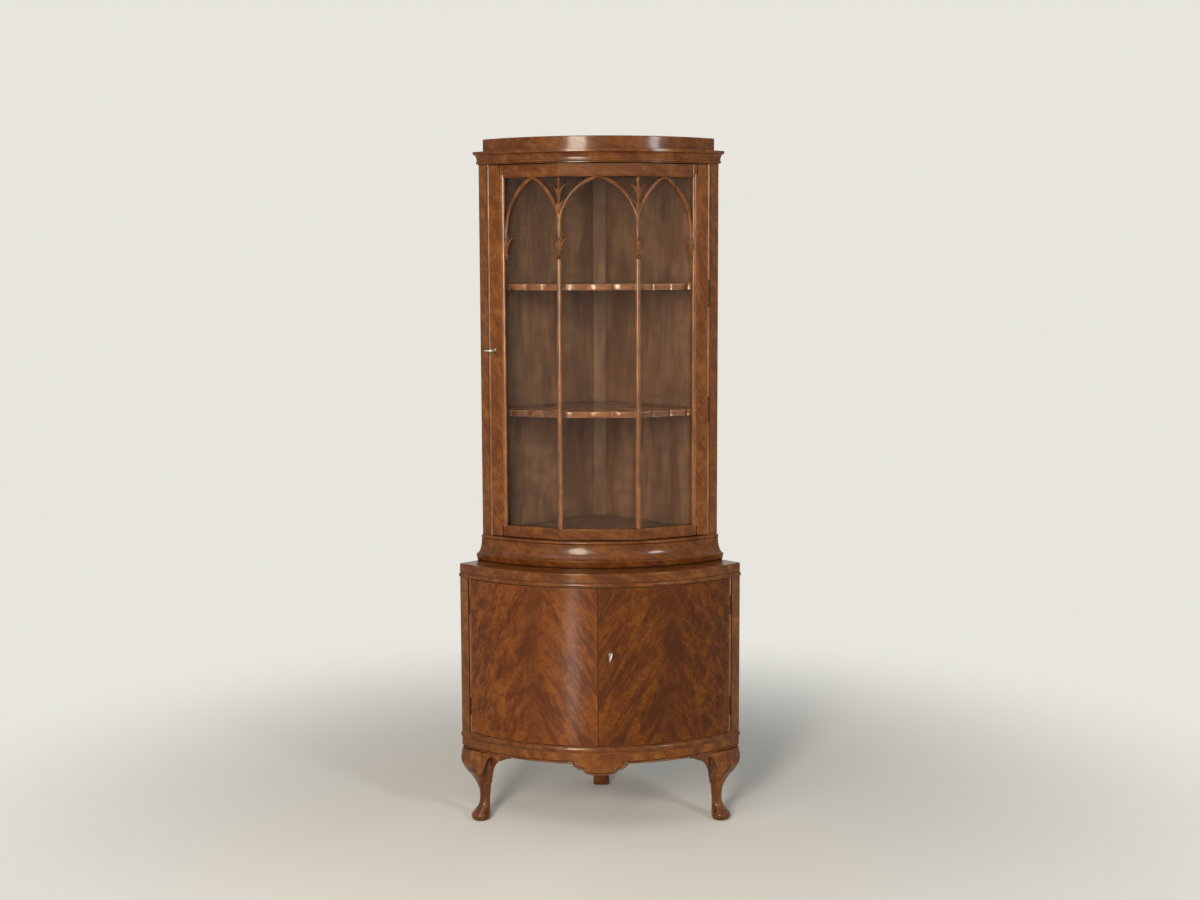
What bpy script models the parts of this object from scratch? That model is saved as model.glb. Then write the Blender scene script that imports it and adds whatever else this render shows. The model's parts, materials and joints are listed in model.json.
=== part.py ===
"""Bow-fronted corner cabinet: a glazed upper stage on a two-door base with cabriole legs.

Metres, +Z up. In plan the back boards lie on the two 45 degree wall planes |x| + y = WALL,
the bowed front faces -Y, and the base's front corners lie at y = 0. The empty CABINET moves
the whole to its origin: the middle of its plan box, on the floor.
"""
from math import acos, asin, atan2, ceil, cos, floor, pi, radians, sin, sqrt, tan

import bmesh
import bpy
from mathutils import Matrix, Vector

# Clearances
GAP = 0.0003
DOOR_GAP = 0.002
DOOR_STOP_GAP = 0.001

# Plan
BASE_HALF_WIDTH = 0.368
BASE_BOW = 0.156
UPPER_HALF_WIDTH = 0.311
UPPER_BOW = 0.122
REAR_BOARD_WIDTH = 0.054
BOARD = 0.014
RETURN_STEP = 0.0015
ARC_STEP = radians(3.75)

# Heights of the stacked base pieces, from the floor up
LEG_HEIGHT = 0.200
APRON_BEAD_DIAMETER = 0.0063
APRON_HEIGHT = 0.0222
LOWER_RAIL_HEIGHT = 0.0185
BASE_DOOR_HEIGHT = 0.410
TOP_RAIL_HEIGHT = 0.0117
BASE_TOP_HEIGHT = 0.024

# Heights of the stacked upper pieces
WAIST_HEIGHT = 0.0672
UPPER_DOOR_HEIGHT = 0.9635
CORNICE_HEIGHT = 0.0335
ATTIC_HEIGHT = 0.0336

# Carcase
STILE_DEPTH = 0.022
BASE_BOTTOM_THICKNESS = 0.018
BASE_BOTTOM_RISE = 0.0105
BASE_SHELF_HEIGHT = 0.450
SHELF_THICKNESS = 0.015
SHELF_SETBACK = 0.012
UPPER_FLOOR_RISE = 0.007
UPPER_ROOF_THICKNESS = 0.018
LOWER_SHELF_HEIGHT = 1.082
UPPER_SHELF_HEIGHT = 1.411
SCALLOP_WIDTH = 0.053
SCALLOP_DEPTH = 0.007
PEG_DIAMETER = 0.007
PEG_LENGTH = 0.012
DOWEL_DIAMETER = 0.008
DOWEL_LENGTH = 0.024

# Doors
BASE_DOOR_THICKNESS = 0.018
DOOR_SPLIT_X = -0.005
FRAME_THICKNESS = 0.020
DOOR_STILE_WIDTH = 0.043
STICKING_WIDTH = 0.0145
STICKING_RECESS = 0.004
TOP_RAIL_WIDTH = 0.033
BOTTOM_RAIL_WIDTH = 0.0292
REBATE_WIDTH = 0.006
GLASS_THICKNESS = 0.003
GLASS_SETBACK = 0.011
GLAZING_BEAD = 0.005
MULLION_WIDTH = 0.0126
MULLION_SETBACK = 0.003
ARCH_BAR_WIDTH = 0.009
ARCH_BAR_DEPTH = 0.006
ARCH_RISE = 0.1346
CAPITAL_DROP = 0.0185
CAPITAL_HEIGHT = 0.0508

# Hinges
BEAD_RADIUS = 0.004
QUIRK = 0.0012
BASE_AXIS_SETBACK = 0.004
UPPER_AXIS_SETBACK = 0.002
DOOR_EDGE_OFFSET = 0.0045
STILE_EDGE_OFFSET = 0.0015
LEAF_THICKNESS = 0.0009
BASE_HINGE_INSET = 0.0285
UPPER_HINGE_INSET = 0.0265
LEAF_REACH = 0.0135
PIN_RADIUS = 0.0016
UPPER_BARREL_LENGTH = 0.071
BASE_BARREL_LENGTH = 0.050
UPPER_BARREL_INSET = 0.330
BASE_BARREL_INSET = 0.070

# Legs
PAD_RADIUS = 0.0253
REAR_LEG_WIDTH = 0.045
REAR_LEG_SETBACK = 0.006
STUMP_WIDTH = 0.034

# Values worked out from the sizes above
WALL = BASE_HALF_WIDTH
RETURN_LENGTH = STILE_DEPTH + RETURN_STEP
REAR_Y = WALL - REAR_BOARD_WIDTH / 2
BASE_R = (BASE_HALF_WIDTH ** 2 + BASE_BOW ** 2) / (2 * BASE_BOW)
BASE_CY = BASE_R - BASE_BOW
UPPER_R = (UPPER_HALF_WIDTH ** 2 + UPPER_BOW ** 2) / (2 * UPPER_BOW)
UPPER_CY = WALL - UPPER_HALF_WIDTH - UPPER_BOW + UPPER_R

Z_APRON = LEG_HEIGHT + APRON_BEAD_DIAMETER + GAP
Z_LOWER_RAIL = Z_APRON + APRON_HEIGHT + GAP
Z_LOWER_RAIL_TOP = Z_LOWER_RAIL + LOWER_RAIL_HEIGHT
Z_BASE_DOOR = Z_LOWER_RAIL_TOP + DOOR_GAP
Z_BASE_DOOR_TOP = Z_BASE_DOOR + BASE_DOOR_HEIGHT
Z_TOP_RAIL = Z_BASE_DOOR_TOP + DOOR_GAP
Z_BASE_TOP = Z_TOP_RAIL + TOP_RAIL_HEIGHT + GAP
Z_WAIST = Z_BASE_TOP + BASE_TOP_HEIGHT + GAP
Z_WAIST_TOP = Z_WAIST + WAIST_HEIGHT
Z_UPPER_DOOR = Z_WAIST_TOP + DOOR_GAP
Z_UPPER_DOOR_TOP = Z_UPPER_DOOR + UPPER_DOOR_HEIGHT
Z_CORNICE = Z_UPPER_DOOR_TOP + DOOR_GAP
Z_ATTIC = Z_CORNICE + CORNICE_HEIGHT + GAP
Z_TOP = Z_ATTIC + ATTIC_HEIGHT
Z_PANE = Z_UPPER_DOOR + BOTTOM_RAIL_WIDTH
Z_PANE_TOP = Z_UPPER_DOOR_TOP - TOP_RAIL_WIDTH
Z_SPRING = Z_PANE_TOP - ARCH_RISE
Z_CAPITAL_TOP = Z_SPRING - CAPITAL_DROP
Z_COLLAR = Z_CAPITAL_TOP - CAPITAL_HEIGHT

PARTS = "corner_cabinet"
TOOLS = "cutters"

for old in list(bpy.data.objects):
    bpy.data.objects.remove(old, do_unlink=True)
for name in (PARTS, TOOLS):
    group = bpy.data.collections.get(name)
    if group is None:
        group = bpy.data.collections.new(name)
    if group.name not in bpy.context.scene.collection.children:
        bpy.context.scene.collection.children.link(group)

ROOT = bpy.data.objects.new("CABINET", None)
bpy.data.collections[PARTS].objects.link(ROOT)
ORIGINS = {ROOT.name: Vector((0, 0, 0))}


def pivot(name, spot, parent=ROOT):
    """An empty on a joint's axis, at a place given in the cabinet's coordinates."""
    made = bpy.data.objects.new(name, None)
    made.empty_display_size = 0.03
    bpy.data.collections[PARTS].objects.link(made)
    made.parent = parent
    ORIGINS[made.name] = Vector(spot)
    made.location = ORIGINS[made.name] - ORIGINS[parent.name]
    return made


def material(name, color, roughness, metallic=0.0, transmission=0.0):
    """One Principled material."""
    made = bpy.data.materials.new(name)
    made.use_nodes = True
    shader = made.node_tree.nodes["Principled BSDF"]
    shader.inputs["Base Color"].default_value = (*color, 1.0)
    shader.inputs["Roughness"].default_value = roughness
    shader.inputs["Metallic"].default_value = metallic
    shader.inputs["Transmission Weight"].default_value = transmission
    return made


LOOKS = {
    "veneer": ((0.26, 0.095, 0.035), 0.3, 0.0, 0.0),
    "solid": ((0.19, 0.065, 0.026), 0.32, 0.0, 0.0),
    "inside": ((0.14, 0.07, 0.04), 0.55, 0.0, 0.0),
    "glass": ((0.9, 0.95, 0.93), 0.03, 0.0, 1.0),
    "brass": ((0.6, 0.42, 0.18), 0.35, 1.0, 0.0),
    "steel": ((0.6, 0.58, 0.54), 0.3, 1.0, 0.0),
}


def place(name, data, look, location=(0, 0, 0), tool=False, parent=ROOT):
    """Put a mesh or curve in the scene as a part, or as a cutter when tool is set."""
    obj = bpy.data.objects.new(name, data)
    obj.location = Vector(location) - ORIGINS[parent.name]
    if tool:
        bpy.data.collections[TOOLS].objects.link(obj)
        obj.hide_render = True
        obj.display_type = "WIRE"
    else:
        bpy.data.collections[PARTS].objects.link(obj)
        color, roughness, metallic, transmission = LOOKS[look]
        data.materials.append(material(name, color, roughness, metallic, transmission))
    obj.parent = parent
    return obj


def finish_mesh(name, work, smooth=True):
    """Turn a bmesh into mesh data with its faces out."""
    bmesh.ops.recalc_face_normals(work, faces=work.faces)
    data = bpy.data.meshes.new(name)
    work.to_mesh(data)
    work.free()
    if smooth:
        data.shade_smooth()
        data.set_sharp_from_angle(angle=radians(30))
    return data


def plate_curve(name, loops, low, high):
    """A flat outline with holes, extruded upwards from low to high."""
    curve = bpy.data.curves.new(name, "CURVE")
    curve.dimensions = "2D"
    curve.fill_mode = "BOTH"
    curve.extrude = (high - low) / 2
    for loop in loops:
        spline = curve.splines.new("POLY")
        spline.points.add(len(loop) - 1)
        spline.use_cyclic_u = True
        for point, (x, y) in zip(spline.points, loop):
            point.co = (x, y, 0, 1)
    return curve


def curve_mesh(name, curve, matrix):
    """The closed mesh of a curve, moved by a matrix."""
    holder = bpy.data.objects.new(name, curve)
    bpy.context.scene.collection.objects.link(holder)
    holder.matrix_world = matrix
    bpy.context.view_layer.update()
    graph = bpy.context.evaluated_depsgraph_get()
    data = bpy.data.meshes.new_from_object(holder.evaluated_get(graph))
    data.transform(holder.matrix_world)
    bpy.data.objects.remove(holder)
    work = bmesh.new()
    work.from_mesh(data)
    bmesh.ops.remove_doubles(work, verts=work.verts, dist=1e-6)
    bpy.data.meshes.remove(data)
    return finish_mesh(name, work)


def plan_mesh(name, loops, low, high):
    """A plan outline as a mesh between two heights."""
    return curve_mesh(name, plate_curve(name, loops, low, high), Matrix.Translation((0, 0, (low + high) / 2)))


def front_mesh(name, loops, near, far):
    """An outline in X and Z as a mesh that runs along Y from near to far."""
    turn = Matrix.Translation((0, (near + far) / 2, 0)) @ Matrix.Rotation(pi / 2, 4, "X")
    return curve_mesh(name, plate_curve(name, loops, near, far), turn)


def board(name, loops, low, high, look):
    """A flat piece: a plan outline between two heights."""
    return place(name, plate_curve(name, loops, low, high), look, (0, 0, (low + high) / 2))


def modify(obj, operation, tool, solver="EXACT"):
    """Cut, join or intersect one object with another."""
    step = obj.modifiers.new(tool.name, "BOOLEAN")
    step.operation = operation
    step.solver = solver
    step.object = tool


def cutter(name, data):
    """A Boolean tool."""
    return place(name + "_cutter", data, None, tool=True)


def arc(radius, centre_y, start, stop):
    """Plan points on a circle, from one angle to another, on shared angular stations."""
    low, high = min(start, stop), max(start, stop)
    first = ceil(low / ARC_STEP + 0.05)
    last = floor(high / ARC_STEP - 0.05)
    angles = [low] + [k * ARC_STEP for k in range(first, last + 1)] + [high]
    if stop < start:
        angles.reverse()
    return [(radius * sin(a), centre_y - radius * cos(a)) for a in angles]


def wall_angle(radius, centre_y, inset=0.0):
    """The angle at which a circle of the plan meets the wall plane, or a plane inside it."""
    reach = WALL - inset * sqrt(2) - centre_y
    # R sin a - R cos a = reach
    return asin(reach / (radius * sqrt(2))) + pi / 4


def x_angle(radius, x):
    """The angle of the point of a circle with a given X."""
    return asin(x / radius)


def mirrored(points):
    """An outline mirrored in X."""
    return [(-x, y) for x, y in points]


def room(inset=0.0):
    """The plan of the room corner, wider than the cabinet, held off the walls by an inset."""
    wide = 2 * WALL
    shift = inset * sqrt(2)
    rear = REAR_Y - inset
    half = WALL - shift - rear
    return [(-wide, WALL - shift - wide), (-wide, -wide), (wide, -wide), (wide, WALL - shift - wide),
            (half, rear), (-half, rear)]


def back_points(inset=0.0):
    """The two plan corners of the back board, right then left, held off the walls by an inset."""
    rear = REAR_Y - inset
    half = WALL - inset * sqrt(2) - rear
    return [(half, rear), (-half, rear)]


def slab_outline(radius, centre_y, inset=0.0):
    """A full-depth slab: bowed front, wall planes and the back corner."""
    end = wall_angle(radius, centre_y, inset)
    return arc(radius, centre_y, -end, end) + back_points(inset)


def turned(name, profile, centre_y):
    """A closed profile of (radius, z) points turned about a vertical axis at centre_y."""
    work = bmesh.new()
    verts = [work.verts.new((r, 0, z)) for r, z in profile]
    for k, vert in enumerate(verts):
        work.edges.new((vert, verts[(k + 1) % len(verts)]))
    data = bpy.data.meshes.new(name)
    work.to_mesh(data)
    work.free()
    holder = bpy.data.objects.new(name, data)
    bpy.context.scene.collection.objects.link(holder)
    screw = holder.modifiers.new("turn", "SCREW")
    screw.steps = round(2 * pi / ARC_STEP)
    screw.render_steps = screw.steps
    screw.use_merge_vertices = True
    screw.merge_threshold = 0.00001
    graph = bpy.context.evaluated_depsgraph_get()
    ring = bpy.data.meshes.new_from_object(holder.evaluated_get(graph))
    bpy.data.objects.remove(holder)
    work = bmesh.new()
    work.from_mesh(ring)
    bmesh.ops.remove_doubles(work, verts=work.verts, dist=1e-6)
    bmesh.ops.translate(work, verts=work.verts, vec=(0, centre_y, 0))
    return finish_mesh(name, work)


def moulding(name, profile, centre_y, look, keep=None):
    """A turned ring cut to the room corner's plan."""
    ring = place(name, turned(name, profile, centre_y), look)
    zs = [z for r, z in profile]
    walls = cutter(name + "_room", plan_mesh(name + "_room", [room()], min(zs) - 0.01, max(zs) + 0.01))
    modify(ring, "INTERSECT", walls)
    if keep:
        outline = cutter(name + "_outline", front_mesh(name + "_outline", [keep], -2 * WALL, 0.3 * WALL))
        modify(ring, "INTERSECT", outline)
    return ring


def rectangle(inner, outer, low, high):
    """A rectangular profile."""
    return [(outer, high), (outer, low), (inner, low), (inner, high)]


def box(work, centre, size, angle=0.0):
    """A box in a bmesh, turned about Z."""
    shape = Matrix.Translation(centre) @ Matrix.Rotation(angle, 4, "Z") @ Matrix.Diagonal((*size, 1))
    bmesh.ops.create_cube(work, size=1, matrix=shape)


def rod(work, start, end, radius, sides=16, end_radius=None):
    """A cylinder or cone in a bmesh between two points."""
    start, end = Vector(start), Vector(end)
    along = end - start
    turn = along.to_track_quat("Z", "Y").to_matrix().to_4x4()
    shape = Matrix.Translation((start + end) / 2) @ turn
    bmesh.ops.create_cone(work, cap_ends=True, segments=sides, radius1=radius,
                          radius2=radius if end_radius is None else end_radius,
                          depth=along.length, matrix=shape)


def wall_point(half_width, along, inward):
    """A plan point from the right front corner: back along the wall plane, then square off it."""
    return (half_width - (along + inward) / sqrt(2), WALL - half_width + (along - inward) / sqrt(2))


class Jamb:
    """The plan frame at a hinge axis: w runs towards the stile, v runs outwards."""

    def __init__(self, radius, centre_y, setback, axis_x):
        self.radius = radius
        self.centre_y = centre_y
        self.setback = setback
        self.angle = x_angle(radius - setback, axis_x)
        self.x = axis_x
        self.y = centre_y - (radius - setback) * cos(self.angle)

    def point(self, w, v, side=1):
        """A plan point of the right jamb, or of the left one when side is -1."""
        x = self.x + w * cos(self.angle) + v * sin(self.angle)
        y = self.y + w * sin(self.angle) - v * cos(self.angle)
        return (side * x, y)

    def stile(self, half_width, back):
        """The stile's plan: bead, quirk, bowed face, return along the wall and back face."""
        neck = atan2(-sqrt(BEAD_RADIUS ** 2 - STILE_EDGE_OFFSET ** 2), -STILE_EDGE_OFFSET)
        stop = radians(-15) - 2 * pi
        turns = 10
        bead = []
        for k in range(turns + 1):
            a = neck + (stop - neck) * k / turns
            bead.append(self.point(BEAD_RADIUS * cos(a), BEAD_RADIUS * sin(a)))
        quirk_w = BEAD_RADIUS + QUIRK
        face_start = self.angle + quirk_w / self.radius
        face = arc(self.radius, self.centre_y, face_start, wall_angle(self.radius, self.centre_y))
        return ([self.point(-STILE_EDGE_OFFSET, self.setback - back)] + bead
                + [self.point(quirk_w, BEAD_RADIUS * sin(stop))] + face
                + [wall_point(half_width, RETURN_LENGTH, 0), wall_point(half_width, RETURN_LENGTH, BOARD),
                   wall_point(half_width, back, BOARD)])


BASE_JAMB = Jamb(BASE_R, BASE_CY, BASE_AXIS_SETBACK, BASE_HALF_WIDTH - BASE_HINGE_INSET)
UPPER_JAMB = Jamb(UPPER_R, UPPER_CY, UPPER_AXIS_SETBACK, UPPER_HALF_WIDTH - UPPER_HINGE_INSET)
UPPER_HINGES = [Z_UPPER_DOOR + UPPER_BARREL_INSET, Z_UPPER_DOOR_TOP - UPPER_BARREL_INSET]
BASE_HINGES = [Z_BASE_DOOR + BASE_BARREL_INSET, Z_BASE_DOOR_TOP - BASE_BARREL_INSET]
SIDES = (("left", -1), ("right", 1))


def turned_to(points, side):
    """An outline of the right half, or its mirror image."""
    return points if side > 0 else mirrored(points)


def side_board(name, half_width, low, high, pegs, dowels):
    """A board along one wall plane, with its shelf pegs and with holes for dowels."""
    reach = (half_width - REAR_BOARD_WIDTH / 2) * sqrt(2) - GAP
    plan = [wall_point(half_width, RETURN_LENGTH + GAP, 0), wall_point(half_width, reach, 0),
            wall_point(half_width, reach, BOARD), wall_point(half_width, RETURN_LENGTH + GAP, BOARD)]
    side = -1 if "left" in name else 1
    panel = place(name, plan_mesh(name, [turned_to(plan, side)], low, high), "inside")
    for operation, rods in (("UNION", pegs), ("DIFFERENCE", dowels)):
        work = bmesh.new()
        for start, end, radius in rods:
            flip = Vector((side, 1, 1))
            rod(work, Vector(start) * flip, Vector(end) * flip, radius, 12)
        if rods:
            tool = f"{name}_{operation.lower()}"
            modify(panel, operation, cutter(tool, finish_mesh(tool, work)))
        else:
            work.free()
    return panel


def rear_board(name, low, high):
    """The narrow board across the back corner, mitred between the side boards."""
    inner = REAR_Y - BOARD / sqrt(2)
    half = REAR_BOARD_WIDTH / 2 - GAP
    inner_half = half - BOARD / sqrt(2)
    board(name, [[(half, REAR_Y), (-half, REAR_Y), (-inner_half, inner), (inner_half, inner)]], low, high, "inside")


def jamb_stile(name, jamb, half_width, low, high, barrels):
    """A front stile whose bead is cut away round the hinge barrels."""
    side = -1 if "left" in name else 1
    stile = place(name, plan_mesh(name, [turned_to(jamb.stile(half_width, STILE_DEPTH), side)], low, high), "solid")
    work = bmesh.new()
    x, y = jamb.point(0, 0, side)
    for centre, length in barrels:
        reach = length / 2 + GAP
        rod(work, (x, y, centre - reach), (x, y, centre + reach), BEAD_RADIUS + GAP, 24)
    if barrels:
        modify(stile, "DIFFERENCE", cutter(name + "_barrels", finish_mesh(name + "_barrels", work)))
    return stile


BASE_SHELF_PEGS = (0.10, 0.36)
UPPER_SHELF_PEGS = (0.10, 0.31)
DOWELS = (0.08, 0.30)
PEG_RADIUS = PEG_DIAMETER / 2
DOWEL_RADIUS = DOWEL_DIAMETER / 2


def shelf_pegs(half_width, places, shelf_heights):
    """The pegs of one side board, each just under its shelf, rooted in the board."""
    pegs = []
    for shelf_height in shelf_heights:
        height = shelf_height - GAP - PEG_RADIUS
        for along in places:
            root = wall_point(half_width, along, BOARD / 2)
            free = wall_point(half_width, along, BOARD + PEG_LENGTH)
            pegs.append(((*root, height), (*free, height), PEG_RADIUS))
    return pegs


def dowels(clearance):
    """The locating dowels about the joint between the stages, or their holes when cleared."""
    rods = []
    for along in DOWELS:
        x, y = wall_point(UPPER_HALF_WIDTH, along, BOARD / 2)
        half = DOWEL_LENGTH / 2 + clearance
        middle = Z_WAIST - GAP / 2
        rods.append(((x, y, middle - half), (x, y, middle + half), DOWEL_RADIUS + clearance))
    return rods


def base_carcase():
    """Side boards, back board, stiles, bottom, shelf, top and rails of the base."""
    inset = BOARD + GAP
    floor_top = Z_LOWER_RAIL_TOP + BASE_BOTTOM_RISE
    pegs = shelf_pegs(BASE_HALF_WIDTH, BASE_SHELF_PEGS, [BASE_SHELF_HEIGHT])
    for word, side in SIDES:
        side_board(f"base_{word}_side", BASE_HALF_WIDTH, Z_APRON, Z_BASE_TOP - GAP, pegs, [])
        barrels = [(z, BASE_BARREL_LENGTH) for z in BASE_HINGES]
        jamb_stile(f"base_{word}_stile", BASE_JAMB, BASE_HALF_WIDTH, Z_LOWER_RAIL_TOP + GAP,
                   Z_TOP_RAIL - GAP, barrels)
    rear_board("base_rear_board", Z_APRON, Z_BASE_TOP - GAP)

    front = BASE_R - BASE_DOOR_THICKNESS - DOOR_STOP_GAP
    corner = BASE_JAMB.point(-DOOR_EDGE_OFFSET, BASE_AXIS_SETBACK - STILE_DEPTH - GAP)
    edge = BASE_JAMB.point(-DOOR_EDGE_OFFSET, BASE_AXIS_SETBACK - BASE_DOOR_THICKNESS - DOOR_STOP_GAP)
    reach = atan2(edge[0], BASE_CY - edge[1])
    behind = wall_point(BASE_HALF_WIDTH, RETURN_LENGTH + GAP, inset)
    plan = (arc(front, BASE_CY, -reach, reach) + [corner, behind] + back_points(inset)
            + mirrored([behind, corner]))
    data = plan_mesh("base_bottom", [plan], floor_top - BASE_BOTTOM_THICKNESS, floor_top)
    place("base_bottom", data, "inside")

    shelf = slab_outline(BASE_R - BASE_DOOR_THICKNESS - SHELF_SETBACK, BASE_CY, inset)
    board("base_shelf", [shelf], BASE_SHELF_HEIGHT, BASE_SHELF_HEIGHT + SHELF_THICKNESS, "inside")

    top = place("base_top", plan_mesh("base_top", [slab_outline(BASE_R, BASE_CY)], Z_BASE_TOP,
                                      Z_BASE_TOP + BASE_TOP_HEIGHT), "veneer")
    work = bmesh.new()
    for start, end, radius in dowels(0.0):
        for word, side in SIDES:
            flip = Vector((side, 1, 1))
            rod(work, Vector(start) * flip, Vector(end) * flip, radius, 12)
    modify(top, "UNION", cutter("base_top_dowels", finish_mesh("base_top_dowels", work)))


def nose_profile(outer, inner, low, high, proud, quirk):
    """A rail's profile: a rounded nose that stands proud between two small flats."""
    start, stop = high - quirk, low + quirk
    middle = (start + stop) / 2
    half = (start - stop) / 2
    nose = []
    turns = 6
    for k in range(turns + 1):
        a = pi / 2 - pi * k / turns
        nose.append((outer + proud * cos(a), middle + half * sin(a)))
    return [(outer, high)] + nose + [(outer, low), (inner, low), (inner, high)]


RAIL_NOSE = 0.004
RAIL_QUIRK = 0.0025
TOP_NOSE = 0.003
TOP_QUIRK = 0.0013
TOP_RAIL_DEPTH = 0.036
APRON_THICKNESS = 0.0225


def base_mouldings():
    """Top rail and lower rail of the base."""
    top = nose_profile(BASE_R, BASE_R - TOP_RAIL_DEPTH, Z_TOP_RAIL, Z_TOP_RAIL + TOP_RAIL_HEIGHT, TOP_NOSE, TOP_QUIRK)
    rail = moulding("base_top_rail", top, BASE_CY, "solid")
    reach = BASE_HALF_WIDTH / 2
    inset = BOARD + GAP
    notch = [wall_point(BASE_HALF_WIDTH, RETURN_LENGTH, -inset), wall_point(BASE_HALF_WIDTH, reach, -inset),
             wall_point(BASE_HALF_WIDTH, reach, inset), wall_point(BASE_HALF_WIDTH, RETURN_LENGTH, inset)]
    for word, side in SIDES:
        name = f"base_top_rail_{word}_notch"
        data = plan_mesh(name, [turned_to(notch, side)], Z_TOP_RAIL - inset, Z_BASE_TOP + inset)
        modify(rail, "DIFFERENCE", cutter(name, data))
    depth = BASE_DOOR_THICKNESS + DOOR_STOP_GAP - GAP
    lower = nose_profile(BASE_R, BASE_R - depth, Z_LOWER_RAIL, Z_LOWER_RAIL_TOP, RAIL_NOSE, RAIL_QUIRK)
    moulding("base_lower_rail", lower, BASE_CY, "solid")


# The centre drop: half-widths and depths below the straight edge, from its ends to the middle
DROP_HALF_WIDTH = 0.067
DROP_CUSP = (0.0393, 0.0165)
DROP_BASE = (0.0205, 0.0282)
DROP_DEPTH = 0.0304
BEAD_BITE = 0.0006


def drop_curve(offset):
    """The right half of the drop's lower edge as (x, depth), lowered and widened by an offset."""
    points = []
    turns = 5
    corners = [(DROP_HALF_WIDTH, 0.0), DROP_CUSP, DROP_BASE]
    for (x0, d0), (x1, d1) in zip(corners, corners[1:]):
        for k in range(turns):
            a = pi / 2 * k / turns
            points.append((x1 + (x0 - x1) * cos(a) + offset, d0 + (d1 - d0) * sin(a) + offset))
    points.append((DROP_BASE[0] + offset, DROP_BASE[1] + offset))
    points.append((0.0, DROP_DEPTH + offset))
    return points


def apron():
    """The curved apron with its centre drop, and the bead along its lower edge."""
    wide = 2 * WALL
    right = [(x, Z_APRON - d) for x, d in drop_curve(0.0)]
    top = Z_APRON + APRON_HEIGHT
    outline = [(wide, top), (wide, Z_APRON)] + right + mirrored(right[-2::-1]) + [(-wide, Z_APRON), (-wide, top)]
    profile = rectangle(BASE_R - APRON_THICKNESS, BASE_R, Z_APRON - DROP_DEPTH - 0.01, top + 0.01)
    front = moulding("apron", profile, BASE_CY, "veneer", outline)

    radius = APRON_BEAD_DIAMETER / 2
    ring = BASE_R - radius / 2
    below = radius - BEAD_BITE
    stop = wall_angle(ring, BASE_CY, radius * 1.5)
    straight = arc(ring, BASE_CY, x_angle(ring, DROP_HALF_WIDTH + 2 * below), stop)
    half = [(x, y, Z_APRON - below) for x, y in reversed(straight)]
    for x, d in drop_curve(below):
        half.append((x, BASE_CY - ring * cos(x_angle(ring, x)), Z_APRON - d))
    path = half + [(-x, y, z) for x, y, z in reversed(half[:-1])]
    curve = bpy.data.curves.new("apron_bead", "CURVE")
    curve.dimensions = "3D"
    curve.bevel_depth = radius
    curve.bevel_resolution = 1
    curve.use_fill_caps = True
    spline = curve.splines.new("POLY")
    spline.points.add(len(path) - 1)
    for point, spot in zip(spline.points, path):
        point.co = (*spot, 1)
    modify(front, "UNION", cutter("apron_bead", curve_mesh("apron_bead", curve, Matrix())))


# The cabriole leg's sections: height, reach outwards along the wall, half-width, squareness
LEG_SECTIONS = (
    (0.000, -0.0392, 0.0175, 2.0),
    (0.004, -0.0388, 0.0230, 2.0),
    (0.012, -0.0383, PAD_RADIUS, 2.0),
    (0.019, -0.0410, 0.0243, 2.0),
    (0.027, -0.0452, 0.0203, 2.0),
    (0.038, -0.0515, 0.0156, 2.0),
    (0.055, -0.0540, 0.0137, 2.0),
    (0.082, -0.0543, 0.0155, 2.1),
    (0.105, -0.0487, 0.0200, 2.3),
    (0.125, -0.0384, 0.0228, 2.6),
    (0.137, -0.0289, 0.0238, 3.0),
    (0.150, -0.0210, 0.0245, 3.5),
    (0.165, -0.0135, 0.0250, 4.0),
    (0.180, -0.0128, 0.0250, 5.0),
    (LEG_HEIGHT - GAP, -0.0170, 0.0245, 6.0),
)
LEG_INWARD = 0.027
LEG_SIDES = 20
BRACKET_ROOT = 0.014

# The knee bracket's lower edge, from the leg towards the middle: inwards from the front corner, and height
BRACKET_EDGE = (
    (0.0395, 0.126), (0.049, 0.1325), (0.057, 0.1400), (0.0635, 0.1490), (0.069, 0.1640),
    (0.0735, 0.1790), (0.079, 0.1855), (0.089, 0.1885), (0.098, 0.1865), (0.1036, 0.1805),
    (0.108, 0.1860), (0.112, 0.1925), (0.118, 0.1958), (0.128, 0.1965), (0.1352, 0.1965),
)


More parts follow.
